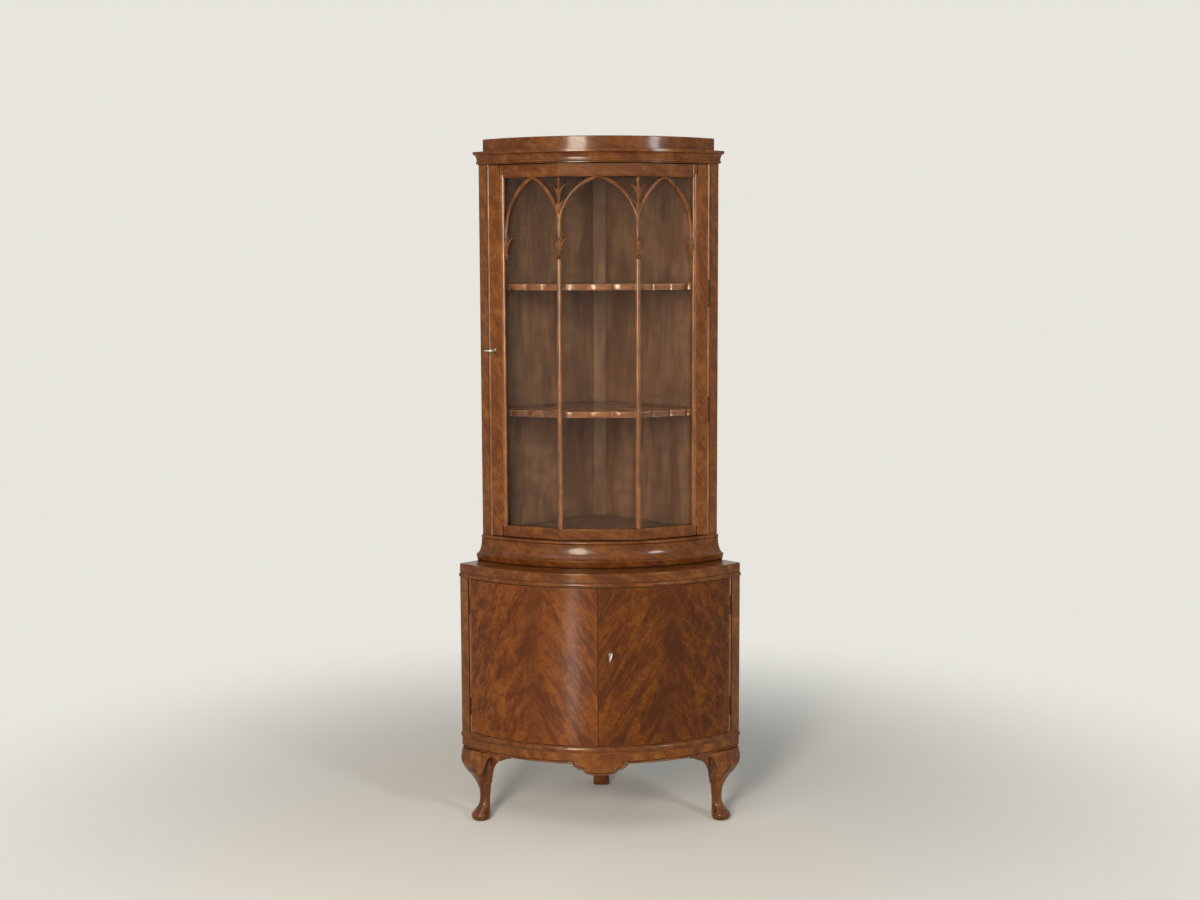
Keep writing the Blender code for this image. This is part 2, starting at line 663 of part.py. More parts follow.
def legs():
    """Two cabriole legs with stumps behind the apron, and the square back leg."""
    inset = BOARD + 2 * GAP
    floor = Z_LOWER_RAIL_TOP + BASE_BOTTOM_RISE - BASE_BOTTOM_THICKNESS
    for word, side in SIDES:
        name = f"{word}_leg"
        work = bmesh.new()
        rings = []
        for height, outward, half, square in LEG_SECTIONS:
            ring = []
            for k in range(LEG_SIDES):
                a = 2 * pi * k / LEG_SIDES
                along = half * abs(cos(a)) ** (2 / square) * (1 if cos(a) > 0 else -1)
                across = half * abs(sin(a)) ** (2 / square) * (1 if sin(a) > 0 else -1)
                x, y = wall_point(BASE_HALF_WIDTH, along - outward, LEG_INWARD + across)
                ring.append(work.verts.new((side * x, y, height)))
            rings.append(ring)
        for below, above in zip(rings, rings[1:]):
            for k in range(LEG_SIDES):
                n = (k + 1) % LEG_SIDES
                work.faces.new((below[k], below[n], above[n], above[k]))
        work.faces.new(rings[0])
        work.faces.new(rings[-1])
        leg = place(name, finish_mesh(name, work), "solid")
        work = bmesh.new()
        low = LEG_HEIGHT - 0.03
        bend = (inset + STUMP_WIDTH) ** 2 / (2 * BASE_R)
        along = APRON_THICKNESS + bend + 2 * GAP + STUMP_WIDTH / 2
        x, y = wall_point(BASE_HALF_WIDTH, along, inset + STUMP_WIDTH / 2)
        box(work, (side * x, y, (low + floor - GAP) / 2), (STUMP_WIDTH, STUMP_WIDTH, floor - GAP - low), pi / 4)
        modify(leg, "UNION", cutter(name + "_stump", finish_mesh(name + "_stump", work, False)))
        bracket(leg, word, side)

    rear = REAR_Y - REAR_LEG_SETBACK
    half = REAR_LEG_WIDTH / 2
    block = [(half, rear), (-half, rear), (-half, rear - REAR_LEG_WIDTH), (half, rear - REAR_LEG_WIDTH)]
    board("rear_leg", [block], 0, Z_APRON - GAP, "solid")


def bracket(leg, word, side):
    """A scrolled bracket joined to its leg, running from the knee under the apron's bead."""
    top = LEG_HEIGHT - GAP
    edge = [(BASE_HALF_WIDTH - inward, height) for inward, height in BRACKET_EDGE]
    root = (edge[0][0] + BRACKET_ROOT, edge[0][1] + BRACKET_ROOT)
    outline = [(root[0], top), root] + edge + [(edge[-1][0], top)]
    heights = [z for x, z in edge]
    profile = rectangle(BASE_R - APRON_THICKNESS, BASE_R - GAP, min(heights) - 0.01, top + 0.01)
    name = f"{word}_bracket"
    wing = cutter(name, turned(name, profile, BASE_CY))
    shape = cutter(name + "_outline", front_mesh(name, [turned_to(outline, side)], -2 * WALL, WALL / 2))
    modify(wing, "INTERSECT", shape)
    modify(leg, "UNION", wing)


base_carcase()
base_mouldings()
apron()
legs()


WAIST_FOOT = 0.0186
WAIST_FOOT_REACH = (0.019, 0.023)
WAIST_COVE = 0.038
WAIST_COVE_REACH = (0.021, 0.004)
RING_DEPTH = STILE_DEPTH
CORNICE_REACH = 0.0195
CORNICE_BEAD_REACH = 0.009
CORNICE_BEAD = 0.006
CORNICE_QUIRK = 0.0025
CORNICE_FILLET = 0.0075
ATTIC_SETBACK = 0.0154


def waist_profile():
    """Foot band, cove and upper bead of the waist moulding."""
    top = Z_WAIST + WAIST_HEIGHT
    foot = Z_WAIST + WAIST_FOOT
    wide, narrow = WAIST_COVE_REACH
    points = [(UPPER_R + WAIST_FOOT_REACH[0], Z_WAIST), (UPPER_R + WAIST_FOOT_REACH[1], foot - 0.001),
              (UPPER_R + WAIST_FOOT_REACH[1], foot)]
    turns = 7
    for k in range(turns + 1):
        a = pi / 2 * k / turns
        points.append((UPPER_R + narrow + (wide - narrow) * (1 - sin(a)), foot + 0.001 + WAIST_COVE * (1 - cos(a))))
    low = foot + 0.001 + WAIST_COVE
    middle = (low + top) / 2
    half = (top - low) / 2
    for k in range(1, turns):
        a = -pi / 2 + pi * k / turns
        points.append((UPPER_R + narrow * cos(a) + 0.001, middle + half * sin(a)))
    points += [(UPPER_R, top), (UPPER_R - RING_DEPTH, top), (UPPER_R - RING_DEPTH, Z_WAIST)]
    return points[::-1]


def cornice_profile():
    """Quirk, bead, cove and top fillet of the cornice."""
    top = Z_CORNICE + CORNICE_HEIGHT
    radius = CORNICE_BEAD / 2
    root = CORNICE_BEAD_REACH - radius
    points = [(UPPER_R + 0.002, Z_CORNICE), (UPPER_R + 0.002, Z_CORNICE + CORNICE_QUIRK)]
    middle = Z_CORNICE + CORNICE_QUIRK + radius
    turns = 6
    for k in range(turns + 1):
        a = -pi / 2 + pi * k / turns
        points.append((UPPER_R + root + radius * cos(a), middle + radius * sin(a)))
    low = Z_CORNICE + CORNICE_QUIRK + CORNICE_BEAD + 0.001
    high = top - CORNICE_FILLET
    reach = CORNICE_REACH - 0.001
    for k in range(turns + 1):
        a = pi / 2 * k / turns
        points.append((UPPER_R + root + (reach - root) * (1 - cos(a)), low + (high - low) * sin(a)))
    points += [(UPPER_R + CORNICE_REACH, high), (UPPER_R + CORNICE_REACH, top), (UPPER_R - RING_DEPTH, top),
               (UPPER_R - RING_DEPTH, Z_CORNICE)]
    return points[::-1]


FACET_X = 0.1023
V0 = Vector(UPPER_JAMB.point(-DOOR_EDGE_OFFSET, UPPER_AXIS_SETBACK))
V1 = Vector((FACET_X, UPPER_CY - UPPER_R * cos(x_angle(UPPER_R, FACET_X))))
FACET_LENGTH = (V0 - V1).length
FACET_ANGLE = atan2(V0.y - V1.y, V0.x - V1.x)
MITRE = tan(FACET_ANGLE / 2)


def facet_point(f, depth):
    """A plan point of the right facet: along it from the mullion, and behind its front."""
    x = V1.x + f * cos(FACET_ANGLE) - depth * sin(FACET_ANGLE)
    y = V1.y + f * sin(FACET_ANGLE) + depth * cos(FACET_ANGLE)
    return (x, y)


def facet_line(depth, end, gap=0.0):
    """The three-facet line at a depth behind the door's front, out to a distance along the side facets."""
    return [(-x, y) for x, y in (facet_point(end, depth),)] + [(-(V1.x - depth * MITRE), V1.y + depth),
            (V1.x - depth * MITRE, V1.y + depth), facet_point(end, depth)]


def faceted_slab(depth, inset):
    """A slab behind the door that is notched round the stiles."""
    back = UPPER_AXIS_SETBACK - STILE_DEPTH - GAP
    line = facet_line(depth, FACET_LENGTH - 2 * DOOR_EDGE_OFFSET)
    corner = UPPER_JAMB.point(-DOOR_EDGE_OFFSET, back)
    behind = wall_point(UPPER_HALF_WIDTH, RETURN_LENGTH + GAP, inset)
    return line + [corner, behind] + back_points(inset) + mirrored([behind, corner])


def wall_hit(depth, inset):
    """How far along the side facet's offset line the wall plane, held off by an inset, lies."""
    x, y = facet_point(0.0, depth)
    reach = WALL - inset * sqrt(2) - x - y
    return reach / (cos(FACET_ANGLE) + sin(FACET_ANGLE))


def shelf_outline():
    """A shelf with shallow lobes along its three front facets."""
    inset = BOARD + GAP
    depth = FRAME_THICKNESS + SHELF_SETBACK
    line = facet_line(depth, wall_hit(depth, inset))
    points = []
    for start, stop in zip(line, line[1:]):
        start, stop = Vector(start), Vector(stop)
        along = stop - start
        lobes = max(1, round(along.length / SCALLOP_WIDTH))
        inward = Vector((-along.y, along.x)).normalized()
        turns = 4
        for k in range(0 if points else 1, lobes * turns):
            bulge = abs(sin(pi * k / turns)) ** 0.7
            points.append(tuple(start + along * k / (lobes * turns) + inward * SCALLOP_DEPTH * (1 - bulge)))
    return [line[0]] + points + [line[-1]] + back_points(inset)


def upper_carcase():
    """Side boards, back board, stiles, floor, roof, shelves and mouldings of the upper stage."""
    inset = BOARD + GAP
    pegs = shelf_pegs(UPPER_HALF_WIDTH, UPPER_SHELF_PEGS, [LOWER_SHELF_HEIGHT, UPPER_SHELF_HEIGHT])
    for word, side in SIDES:
        side_board(f"upper_{word}_side", UPPER_HALF_WIDTH, Z_WAIST, Z_ATTIC - GAP, pegs, dowels(GAP))
        barrels = [(z, UPPER_BARREL_LENGTH) for z in UPPER_HINGES] if side > 0 else []
        jamb_stile(f"upper_{word}_stile", UPPER_JAMB, UPPER_HALF_WIDTH, Z_WAIST_TOP + GAP, Z_CORNICE - GAP, barrels)
    rear_board("upper_rear_board", Z_WAIST, Z_ATTIC - GAP)
    slab = faceted_slab(FRAME_THICKNESS + DOOR_STOP_GAP, inset)
    floor_top = Z_UPPER_DOOR + UPPER_FLOOR_RISE
    board("upper_bottom", [slab], Z_WAIST_TOP + GAP, floor_top, "inside")
    roof_top = Z_CORNICE - GAP
    board("upper_top", [slab], roof_top - UPPER_ROOF_THICKNESS, roof_top, "inside")
    for name, height in (("lower_shelf", LOWER_SHELF_HEIGHT), ("upper_shelf", UPPER_SHELF_HEIGHT)):
        board(name, [shelf_outline()], height, height + SHELF_THICKNESS, "solid")
    moulding("waist_moulding", waist_profile(), UPPER_CY, "solid")
    moulding("cornice", cornice_profile(), UPPER_CY, "solid")
    board("attic_blocking", [slab_outline(UPPER_R - ATTIC_SETBACK, UPPER_CY)], Z_ATTIC, Z_TOP, "veneer")


upper_carcase()


GLASS_FRONT = GLASS_SETBACK
GLASS_BACK = GLASS_SETBACK + GLASS_THICKNESS
REBATE_DEPTH = GLASS_SETBACK - GAP
GLASS_EDGE_GAP = 0.0006
MULLION_WEB = 0.004
MULLION_BACK = 0.0185
STILE_LINE = FACET_LENGTH - DOOR_STILE_WIDTH

DISPLAY_AXIS = pivot("display_door_axis", (*UPPER_JAMB.point(0, 0, 1), Z_UPPER_DOOR))
RIGHT_AXIS = pivot("base_right_door_axis", (*BASE_JAMB.point(0, 0, 1), Z_BASE_DOOR))
LEFT_AXIS = pivot("base_left_door_axis", (*BASE_JAMB.point(0, 0, -1), Z_BASE_DOOR))


def facet_mesh(name, loops, near, far, side):
    """Outlines in facet distance and height, made solid between two depths of one facet."""
    flat = [turned_to(loop, -1) for loop in loops] if side < 0 else loops
    data = front_mesh(name, flat, near, far)
    if side:
        spot = Matrix.Translation((side * V1.x, V1.y, 0))
        data.transform(spot @ Matrix.Rotation(side * FACET_ANGLE, 4, "Z"))
    else:
        data.transform(Matrix.Translation((0, V1.y, 0)))
    return data


def door_stile(word, side):
    """A display door stile: flat face, sunk sticking and a rebate for the pane."""
    name = f"display_door_{word}_stile"
    slant = UPPER_JAMB.angle - FACET_ANGLE
    heel = UPPER_JAMB.point(-DOOR_EDGE_OFFSET, UPPER_AXIS_SETBACK - FRAME_THICKNESS / cos(slant))
    flat = STILE_LINE + STICKING_WIDTH
    plan = [facet_point(STILE_LINE, STICKING_RECESS), facet_point(STILE_LINE + 0.003, STICKING_RECESS - 0.002),
            facet_point(flat - 0.003, STICKING_RECESS - 0.002), facet_point(flat - 0.001, STICKING_RECESS - 0.001),
            facet_point(flat, 0), tuple(V0), heel,
            facet_point(STILE_LINE + REBATE_WIDTH, FRAME_THICKNESS),
            facet_point(STILE_LINE + REBATE_WIDTH, REBATE_DEPTH), facet_point(STILE_LINE, REBATE_DEPTH)]
    data = plan_mesh(name, [turned_to(plan, side)], Z_UPPER_DOOR, Z_UPPER_DOOR_TOP)
    return place(name, data, "solid", tool=False, parent=DISPLAY_AXIS, location=(0, 0, 0))


def door_rail(word, low, high, sticking, inner_low):
    """A display door rail over the three facets, with sunk sticking and a pane rebate."""
    name = f"display_door_{word}_rail"

    def strip(front, back, bottom, top, extra=0.0):
        end = STILE_LINE - GAP + extra
        outline = facet_line(front, end) + facet_line(back, end)[::-1]
        return plan_mesh(name, [outline], bottom, top)

    rail = place(name, strip(0, FRAME_THICKNESS, low, high), "solid", parent=DISPLAY_AXIS)
    over = 0.004
    if inner_low:
        stick = (low - over, low + sticking)
        rebate = (low - over, low + REBATE_WIDTH)
    else:
        stick = (high - sticking, high + over)
        rebate = (high - REBATE_WIDTH, high + over)
    modify(rail, "DIFFERENCE", cutter(name + "_stick", strip(-over, STICKING_RECESS / 2, *stick, over)))
    modify(rail, "DIFFERENCE", cutter(name + "_rebate", strip(REBATE_DEPTH, FRAME_THICKNESS + over, *rebate, over)))
    return rail


def mullion_point(across, depth):
    """A plan point of the right mullion, in the frame of the bend between two facets."""
    a = FACET_ANGLE / 2
    return (V1.x + across * cos(a) - depth * sin(a), V1.y + across * sin(a) + depth * cos(a))


def mullions():
    """The two mullions: a rounded bar up to the capitals, and a web between the panes."""
    half = MULLION_WIDTH / 2
    web = MULLION_WEB / 2
    step = half / 2
    for word, side in SIDES:
        bar = [mullion_point(-half, REBATE_DEPTH), mullion_point(-half, MULLION_SETBACK + step / 2),
               mullion_point(-step, MULLION_SETBACK), mullion_point(step, MULLION_SETBACK),
               mullion_point(half, MULLION_SETBACK + step / 2), mullion_point(half, REBATE_DEPTH)]
        tongue = [mullion_point(web, MULLION_BACK), mullion_point(-web, MULLION_BACK)]
        name = f"{word}_mullion"
        lower = [mullion_point(web, REBATE_DEPTH)] + tongue + [mullion_point(-web, REBATE_DEPTH)]
        data = plan_mesh(name, [turned_to(bar + lower, side)], Z_PANE + GAP, Z_COLLAR)
        mullion = place(name, data, "solid", parent=DISPLAY_AXIS)
        high = [mullion_point(web, REBATE_DEPTH)] + tongue + [mullion_point(-web, REBATE_DEPTH)]
        top = plan_mesh(name + "_top", [turned_to(high, side)], Z_COLLAR - 0.01, Z_PANE_TOP - GAP)
        modify(mullion, "UNION", cutter(name + "_top", top))


def arch_loop(start, stop, rise):
    """A pointed arch's bar as one outline: springing centres at start and stop, outer rise."""
    half_bar = ARCH_BAR_WIDTH / 2
    half = (stop - start) / 2
    radius = (rise ** 2 + half ** 2 - half_bar ** 2) / (2 * half + ARCH_BAR_WIDTH)
    turns = 8

    def limb(rho):
        last = acos((radius - half) / rho)
        angles = [last * k / turns for k in range(turns + 1)]
        return [(start + radius - rho * cos(a), Z_SPRING + rho * sin(a)) for a in angles]

    middle = (start + stop) / 2
    outer = limb(radius + half_bar)
    inner = limb(radius - half_bar)
    outer_right = [(2 * middle - x, z) for x, z in outer[-2::-1]]
    inner_right = [(2 * middle - x, z) for x, z in inner[:-1]]
    return outer + outer_right + inner_right + inner[::-1]


CAPITAL_HALF = 0.0085
POST_HALF = 0.005
HALF_CAPITAL_WIDTH = 0.0085
ARCH_FRONT = 0.0035


def tracery():
    """Three pointed arches joined by their capitals and finials, one carved piece."""
    near, far = ARCH_FRONT, ARCH_FRONT + ARCH_BAR_DEPTH
    top = Z_PANE_TOP - GAP
    rise = top - Z_SPRING
    centre = arch_loop(-V1.x, V1.x, rise)
    piece = place("tracery", facet_mesh("tracery", [centre], near, far, 0), "solid", parent=DISPLAY_AXIS)
    edge = STILE_LINE - GAP
    side_arch = arch_loop(0.0, edge - ARCH_BAR_WIDTH / 2, rise)
    low = Z_COLLAR + GAP
    for word, side in SIDES:
        arch = facet_mesh(f"{word}_arch", [side_arch], near, far, side)
        half = CAPITAL_HALF
        waist = POST_HALF
        outline = [(-half, low), (half, low), (waist, Z_CAPITAL_TOP - 0.035), (half, Z_CAPITAL_TOP),
                   (waist, Z_SPRING + 0.01), (waist, top), (-waist, top),
                   (-waist, Z_SPRING + 0.01), (-half, Z_CAPITAL_TOP), (-waist, Z_CAPITAL_TOP - 0.035)]
        post = front_mesh(f"{word}_post", [outline], near - 0.0005, far)
        post.transform(Matrix.Translation((side * V1.x, V1.y, 0)) @ Matrix.Rotation(side * FACET_ANGLE / 2, 4, "Z"))
        low_edge = Z_CAPITAL_TOP - 0.055
        capital = [(edge, low_edge), (edge, Z_SPRING + 0.01), (edge - ARCH_BAR_WIDTH, Z_SPRING + 0.01),
                   (edge - HALF_CAPITAL_WIDTH, Z_CAPITAL_TOP), (edge - 0.004, low_edge + 0.02),
                   (edge - 0.006, low_edge)]
        bracket_mesh = facet_mesh(f"{word}_half_capital", [capital], near - 0.0005, far, side)
        for tag, data in (("arch", arch), ("post", post), ("half_capital", bracket_mesh)):
            modify(piece, "UNION", cutter(f"{word}_{tag}", data))


def panes():
    """Three flat panes in their rebates."""
    low = Z_PANE - REBATE_WIDTH + GLASS_EDGE_GAP
    high = Z_PANE_TOP + REBATE_WIDTH - GLASS_EDGE_GAP
    start = GLASS_BACK * MITRE + (MULLION_WEB / 2 + GAP) / cos(FACET_ANGLE / 2)
    half = V1.x - start
    flat = [[(-half, low), (half, low), (half, high), (-half, high)]]
    place("centre_pane", facet_mesh("centre_pane", flat, GLASS_FRONT, GLASS_BACK, 0), "glass", parent=DISPLAY_AXIS)
    stop = STILE_LINE + REBATE_WIDTH - GLASS_EDGE_GAP
    flat = [[(start, low), (stop, low), (stop, high), (start, high)]]
    for word, side in SIDES:
        data = facet_mesh(f"{word}_pane", flat, GLASS_FRONT, GLASS_BACK, side)
        place(f"{word}_pane", data, "glass", parent=DISPLAY_AXIS)


for side_word, side_sign in SIDES:
    door_stile(side_word, side_sign)
door_rail("top", Z_PANE_TOP, Z_UPPER_DOOR_TOP, 0.0085, True)
door_rail("bottom", Z_UPPER_DOOR, Z_PANE, 0.0045, False)
mullions()
tracery()
panes()


class LockPlace:
    """A lock's frame: x the way the bolt shoots, y out of the door's front, z up the key's height."""

    def __init__(self, origin, shoot, outward, height):
        self.matrix = Matrix(((shoot[0], outward[0], 0, origin[0]), (shoot[1], outward[1], 0, origin[1]),
                              (0, 0, 1, height), (0, 0, 0, 1)))
        self.origin = (origin[0], origin[1], height)

    def solid(self, name, low, high, rods=()):
        """A box between two corners of the lock's frame, as world mesh data, with rods beside it."""
        work = bmesh.new()
        centre = [(a + b) / 2 for a, b in zip(low, high)]
        size = [b - a for a, b in zip(low, high)]
        box(work, centre, size)
        data = finish_mesh(name, work, False)
        data.transform(self.matrix)
        return data

    def rod(self, name, near, far, radius, sides=16):
        """A rod along the key's axis between two distances out of the door's front."""
        work = bmesh.new()
        rod(work, (0, near, 0), (0, far, 0), radius, sides)
        data = finish_mesh(name, work)
        data.transform(self.matrix)
        return data


KEY_SHAFT_RADIUS = 0.002
KEY_HOLE_RADIUS = 0.0027
KEY_BIT_REACH = 0.0072
KEY_BIT_HALF = 0.0009
KEY_BIT_WIDTH = 0.0032
CASE_WALL = 0.0012
BIT_CAVITY_RADIUS = 0.0078
BOLT_LOW = 0.0085
BOLT_HIGH = 0.0155
BOLT_THICKNESS = 0.003
LOCK_CASE_HEIGHTS = (-0.016, 0.020)
LOCK_BOLT_THROW = 0.006
KEY_BOW_HALF = 0.014
KEY_BOW_LENGTH = 0.020
KEY_BOW_THICKNESS = 0.0045
KEY_BOW_CENTRE = 0.033
KEY_BOW_RIM = 0.0042
BASE_KEY_X = 0.026
BASE_KEY_HEIGHT = 0.489
BASE_KEY_TILT = radians(75)
DISPLAY_KEY_INSET = 0.0138
DISPLAY_KEY_HEIGHT = 1.2558
BASE_CASE_FACE = 0.0085
BASE_CASE_SPAN = (-0.0175, 0.0250)
BASE_BOLT_TIP = 0.0285
DISPLAY_CASE_FACE = 0.0105
DISPLAY_CASE_SPAN = (-0.0175, 0.0075)
DISPLAY_BOLT_TIP = 0.0098
KEEP_CLEARANCE = 0.0008
DOOR_MEETING_GAP = 0.002


def key(name, spot, tilt, axis, tip):
    """A key turned about the lock's axis: bow, collar, shaft and bit."""
    bow_half, bow_length = KEY_BOW_HALF, KEY_BOW_LENGTH / 2
    turns = 24
    rim = []
    hole = []
    for k in range(turns):
        a = 2 * pi * k / turns
        rim.append((bow_half * cos(a), KEY_BOW_CENTRE + bow_length * sin(a)))
        hole.append(((bow_half - KEY_BOW_RIM) * cos(a), KEY_BOW_CENTRE + (bow_length - KEY_BOW_RIM) * sin(a)))
    turn = Matrix.Rotation(tilt, 4, "Y")
    half = KEY_BOW_THICKNESS / 2
    data = plan_mesh(name, [rim, hole], -half, half)
    data.transform(spot.matrix @ turn)
    start = pivot(name + "_axis", spot.origin, axis)
    made = place(name, data, "steel", parent=start)
    inner = KEY_BOW_CENTRE - bow_length + KEY_BOW_RIM / 2
    modify(made, "UNION", cutter(name + "_shaft", spot.rod(name, tip, inner, KEY_SHAFT_RADIUS)))
    modify(made, "UNION", cutter(name + "_collar", spot.rod(name, 0.002, 0.005, KEY_SHAFT_RADIUS * 1.7)))
    bit_near = tip + GAP
    bit = spot.solid(name, (-KEY_BIT_HALF, bit_near, -KEY_BIT_REACH), (KEY_BIT_HALF, bit_near + KEY_BIT_WIDTH, 0))
    modify(made, "UNION", cutter(name + "_bit", bit))
    return made


def lock(name, key_name, spot, tilt, axis, door, face, back, span, tip, keeps):
    """A lock let into a door's back, with its bolt, key, keyhole and keep mortises."""
    low, high = LOCK_CASE_HEIGHTS
    case = place(name, spot.solid(name, (span[0], -back, low), (span[1], -face, high)), "steel", parent=axis)
    middle = (face + back) / 2 + 0.0005
    bolt_back, bolt_front = -middle - BOLT_THICKNESS / 2, -middle + BOLT_THICKNESS / 2
    root = span[0] + 0.005
    data = spot.solid(name + "_bolt", (root, bolt_back, BOLT_LOW), (tip, bolt_front, BOLT_HIGH))
    place(name + "_bolt", data, "brass", parent=axis)
    slot = spot.solid(name, (root - GAP, bolt_back - GAP, BOLT_LOW - GAP),
                      (tip + 0.02, bolt_front + GAP, BOLT_HIGH + GAP))
    slot = cutter(name + "_slot", slot)
    recess = spot.solid(name, (span[0] - GAP, -back - 0.01, low - GAP), (span[1] + GAP, -face + GAP, high + GAP))
    cavity = cutter(name + "_cavity", spot.rod(name, -back + CASE_WALL, -face - CASE_WALL, BIT_CAVITY_RADIUS, 24))
    hole = cutter(name + "_keyhole", spot.rod(name, -face - 0.003, 0.01, KEY_HOLE_RADIUS))
    slit = spot.solid(name, (-0.0014, -face - 0.003, -KEY_BIT_REACH - GAP), (0.0014, 0.01, 0))
    slit = cutter(name + "_slit", slit)
    for tool in (slot, cavity, hole, slit):
        modify(case, "DIFFERENCE", tool)
    for tool in (cutter(name + "_recess", recess), slot, hole, slit):
        modify(door, "DIFFERENCE", tool)
    keep = spot.solid(name, (tip - 0.004, bolt_back - KEEP_CLEARANCE, BOLT_LOW - KEEP_CLEARANCE),
                      (tip + LOCK_BOLT_THROW + KEEP_CLEARANCE, bolt_front + KEEP_CLEARANCE,
                       BOLT_HIGH + KEEP_CLEARANCE))
    modify(keeps, "DIFFERENCE", cutter(name + "_keep", keep))
    key(key_name, spot, tilt, axis, -back + CASE_WALL + 2 * GAP)


def base_door(word, side, axis):
    """A bowed base door between its hinge and the meeting line."""
    name = f"base_{word}_door"
    inner_r = BASE_R - BASE_DOOR_THICKNESS
    hinge = BASE_JAMB.angle - DOOR_EDGE_OFFSET / inner_r
    meet = x_angle(BASE_R, side * DOOR_SPLIT_X + DOOR_MEETING_GAP / 2)
    plan = arc(BASE_R, BASE_CY, meet, hinge) + arc(inner_r, BASE_CY, hinge, meet)
    return place(name, plan_mesh(name, [turned_to(plan, side)], Z_BASE_DOOR, Z_BASE_DOOR_TOP), "veneer", parent=axis)


def hinge(prefix, jamb, side, height, length, axis):
    """A butt hinge: a frame leaf that holds the pin, and a bored door leaf."""
    third = (length - 2 * GAP) / 3
    low, high = height - length / 2, height + length / 2
    x, y = jamb.point(0, 0, side)
    tab_top = -0.0028
    plate_top = -BEAD_RADIUS - 2 * GAP
    ease = 0.0004

    def leaf(name, w, tabs, stop, parent):
        """A leaf plate in the v, z plane with tabs up to its knuckles."""
        outline = [(-LEAF_REACH, low + ease), (plate_top, low + ease)]
        for start, end in tabs:
            if start > low:
                outline.append((plate_top, start + ease))
            outline += [(stop, start + ease), (stop, end - ease)]
            if end < high:
                outline.append((plate_top, end - ease))
        if outline[-1][0] != plate_top:
            outline.append((plate_top, high - ease))
        outline.append((-LEAF_REACH, high - ease))
        if outline[1][0] == outline[2][0] and outline[1][1] == outline[2][1]:
            outline.pop(1)
        data = front_mesh(name, [outline], -LEAF_THICKNESS / 2, LEAF_THICKNESS / 2)
        centre = jamb.point(w, 0, 1)
        turn = Matrix.Translation((*centre, 0)) @ Matrix.Rotation(jamb.angle - pi / 2, 4, "Z")
        data.transform(turn)
        if side < 0:
            data.transform(Matrix.Diagonal((-1, 1, 1, 1)))
            data.flip_normals()
        return place(name, data, "brass", parent=parent)

    ends = [(low, low + third), (high - third, high)]
    frame_w = -STILE_EDGE_OFFSET - GAP - LEAF_THICKNESS / 2
    door_w = -DOOR_EDGE_OFFSET + GAP + LEAF_THICKNESS / 2
    name = f"{prefix}_frame_leaf"
    fixed = leaf(name, frame_w, ends, tab_top, ROOT)
    work = bmesh.new()
    for start, end in ends:
        rod(work, (x, y, start), (x, y, end), BEAD_RADIUS, 20)
    modify(fixed, "UNION", cutter(name + "_knuckles", finish_mesh(name + "_knuckles", work)), "MANIFOLD")
    work = bmesh.new()
    rod(work, (x, y, low + third / 2), (x, y, high - third / 2), PIN_RADIUS, 12)
    modify(fixed, "UNION", cutter(name + "_pin", finish_mesh(name + "_pin", work)), "MANIFOLD")
    name = f"{prefix}_door_leaf"
    middle = (low + third + GAP, high - third - GAP)
    moving = leaf(name, door_w, [middle], -0.0008, axis)
    work = bmesh.new()
    rod(work, (x, y, middle[0]), (x, y, middle[1]), BEAD_RADIUS, 20)
    modify(moving, "UNION", cutter(name + "_knuckle", finish_mesh(name + "_knuckle", work)), "MANIFOLD")
    work = bmesh.new()
    rod(work, (x, y, middle[0] - GAP), (x, y, middle[1] + GAP), PIN_RADIUS + GAP, 12)
    modify(moving, "DIFFERENCE", cutter(name + "_bore", finish_mesh(name + "_bore", work)), "MANIFOLD")


SLIDE_X = -0.030
SLIDE_RADIUS = 0.003
SLIDE_THROW = 0.010
SLIDE_CASE = (0.014, 0.012, 0.060)
SLIDE_CASE_INSET = 0.018
SLIDE_TAIL = 0.017
SLIDE_CLEARANCE = 0.0009
SLIDE_HOLE_RADIUS = 0.0036
KNOB_RADIUS = 0.005


def slide_bolt(word, sign, tip, case_end, keep, hole):
    """A vertical slide bolt on the left base door's back, its case and the hole it enters."""
    a = x_angle(BASE_R, SLIDE_X)
    radius = BASE_R - BASE_DOOR_THICKNESS - 2 * GAP - SLIDE_CASE[1] / 2
    x, y = radius * sin(a), BASE_CY - radius * cos(a)
    far_end = case_end - sign * SLIDE_CASE[2]
    work = bmesh.new()
    box(work, (x, y, (case_end + far_end) / 2), SLIDE_CASE, a)
    name = f"left_door_{word}_bolt"
    case = place(name + "_case", finish_mesh(name + "_case", work, False), "brass", parent=LEFT_AXIS)
    work = bmesh.new()
    rod(work, (x, y, case_end + sign * 0.01), (x, y, far_end - sign * 0.01), SLIDE_RADIUS + GAP, 14)
    modify(case, "DIFFERENCE", cutter(name + "_bore", finish_mesh(name + "_bore", work)))
    knob = far_end - sign * SLIDE_TAIL
    work = bmesh.new()
    rod(work, (x, y, tip), (x, y, knob), SLIDE_RADIUS, 14)
    bolt = place(name, finish_mesh(name, work), "brass", parent=LEFT_AXIS)
    work = bmesh.new()
    bmesh.ops.create_uvsphere(work, u_segments=14, v_segments=8, radius=KNOB_RADIUS,
                              matrix=Matrix.Translation((x, y, knob)))
    modify(bolt, "UNION", cutter(name + "_knob", finish_mesh(name + "_knob", work)))
    work = bmesh.new()
    rod(work, (x, y, hole[0]), (x, y, hole[1]), SLIDE_HOLE_RADIUS, 14)
    modify(bpy.data.objects[keep], "DIFFERENCE", cutter(name + "_hole", finish_mesh(name + "_hole", work)))


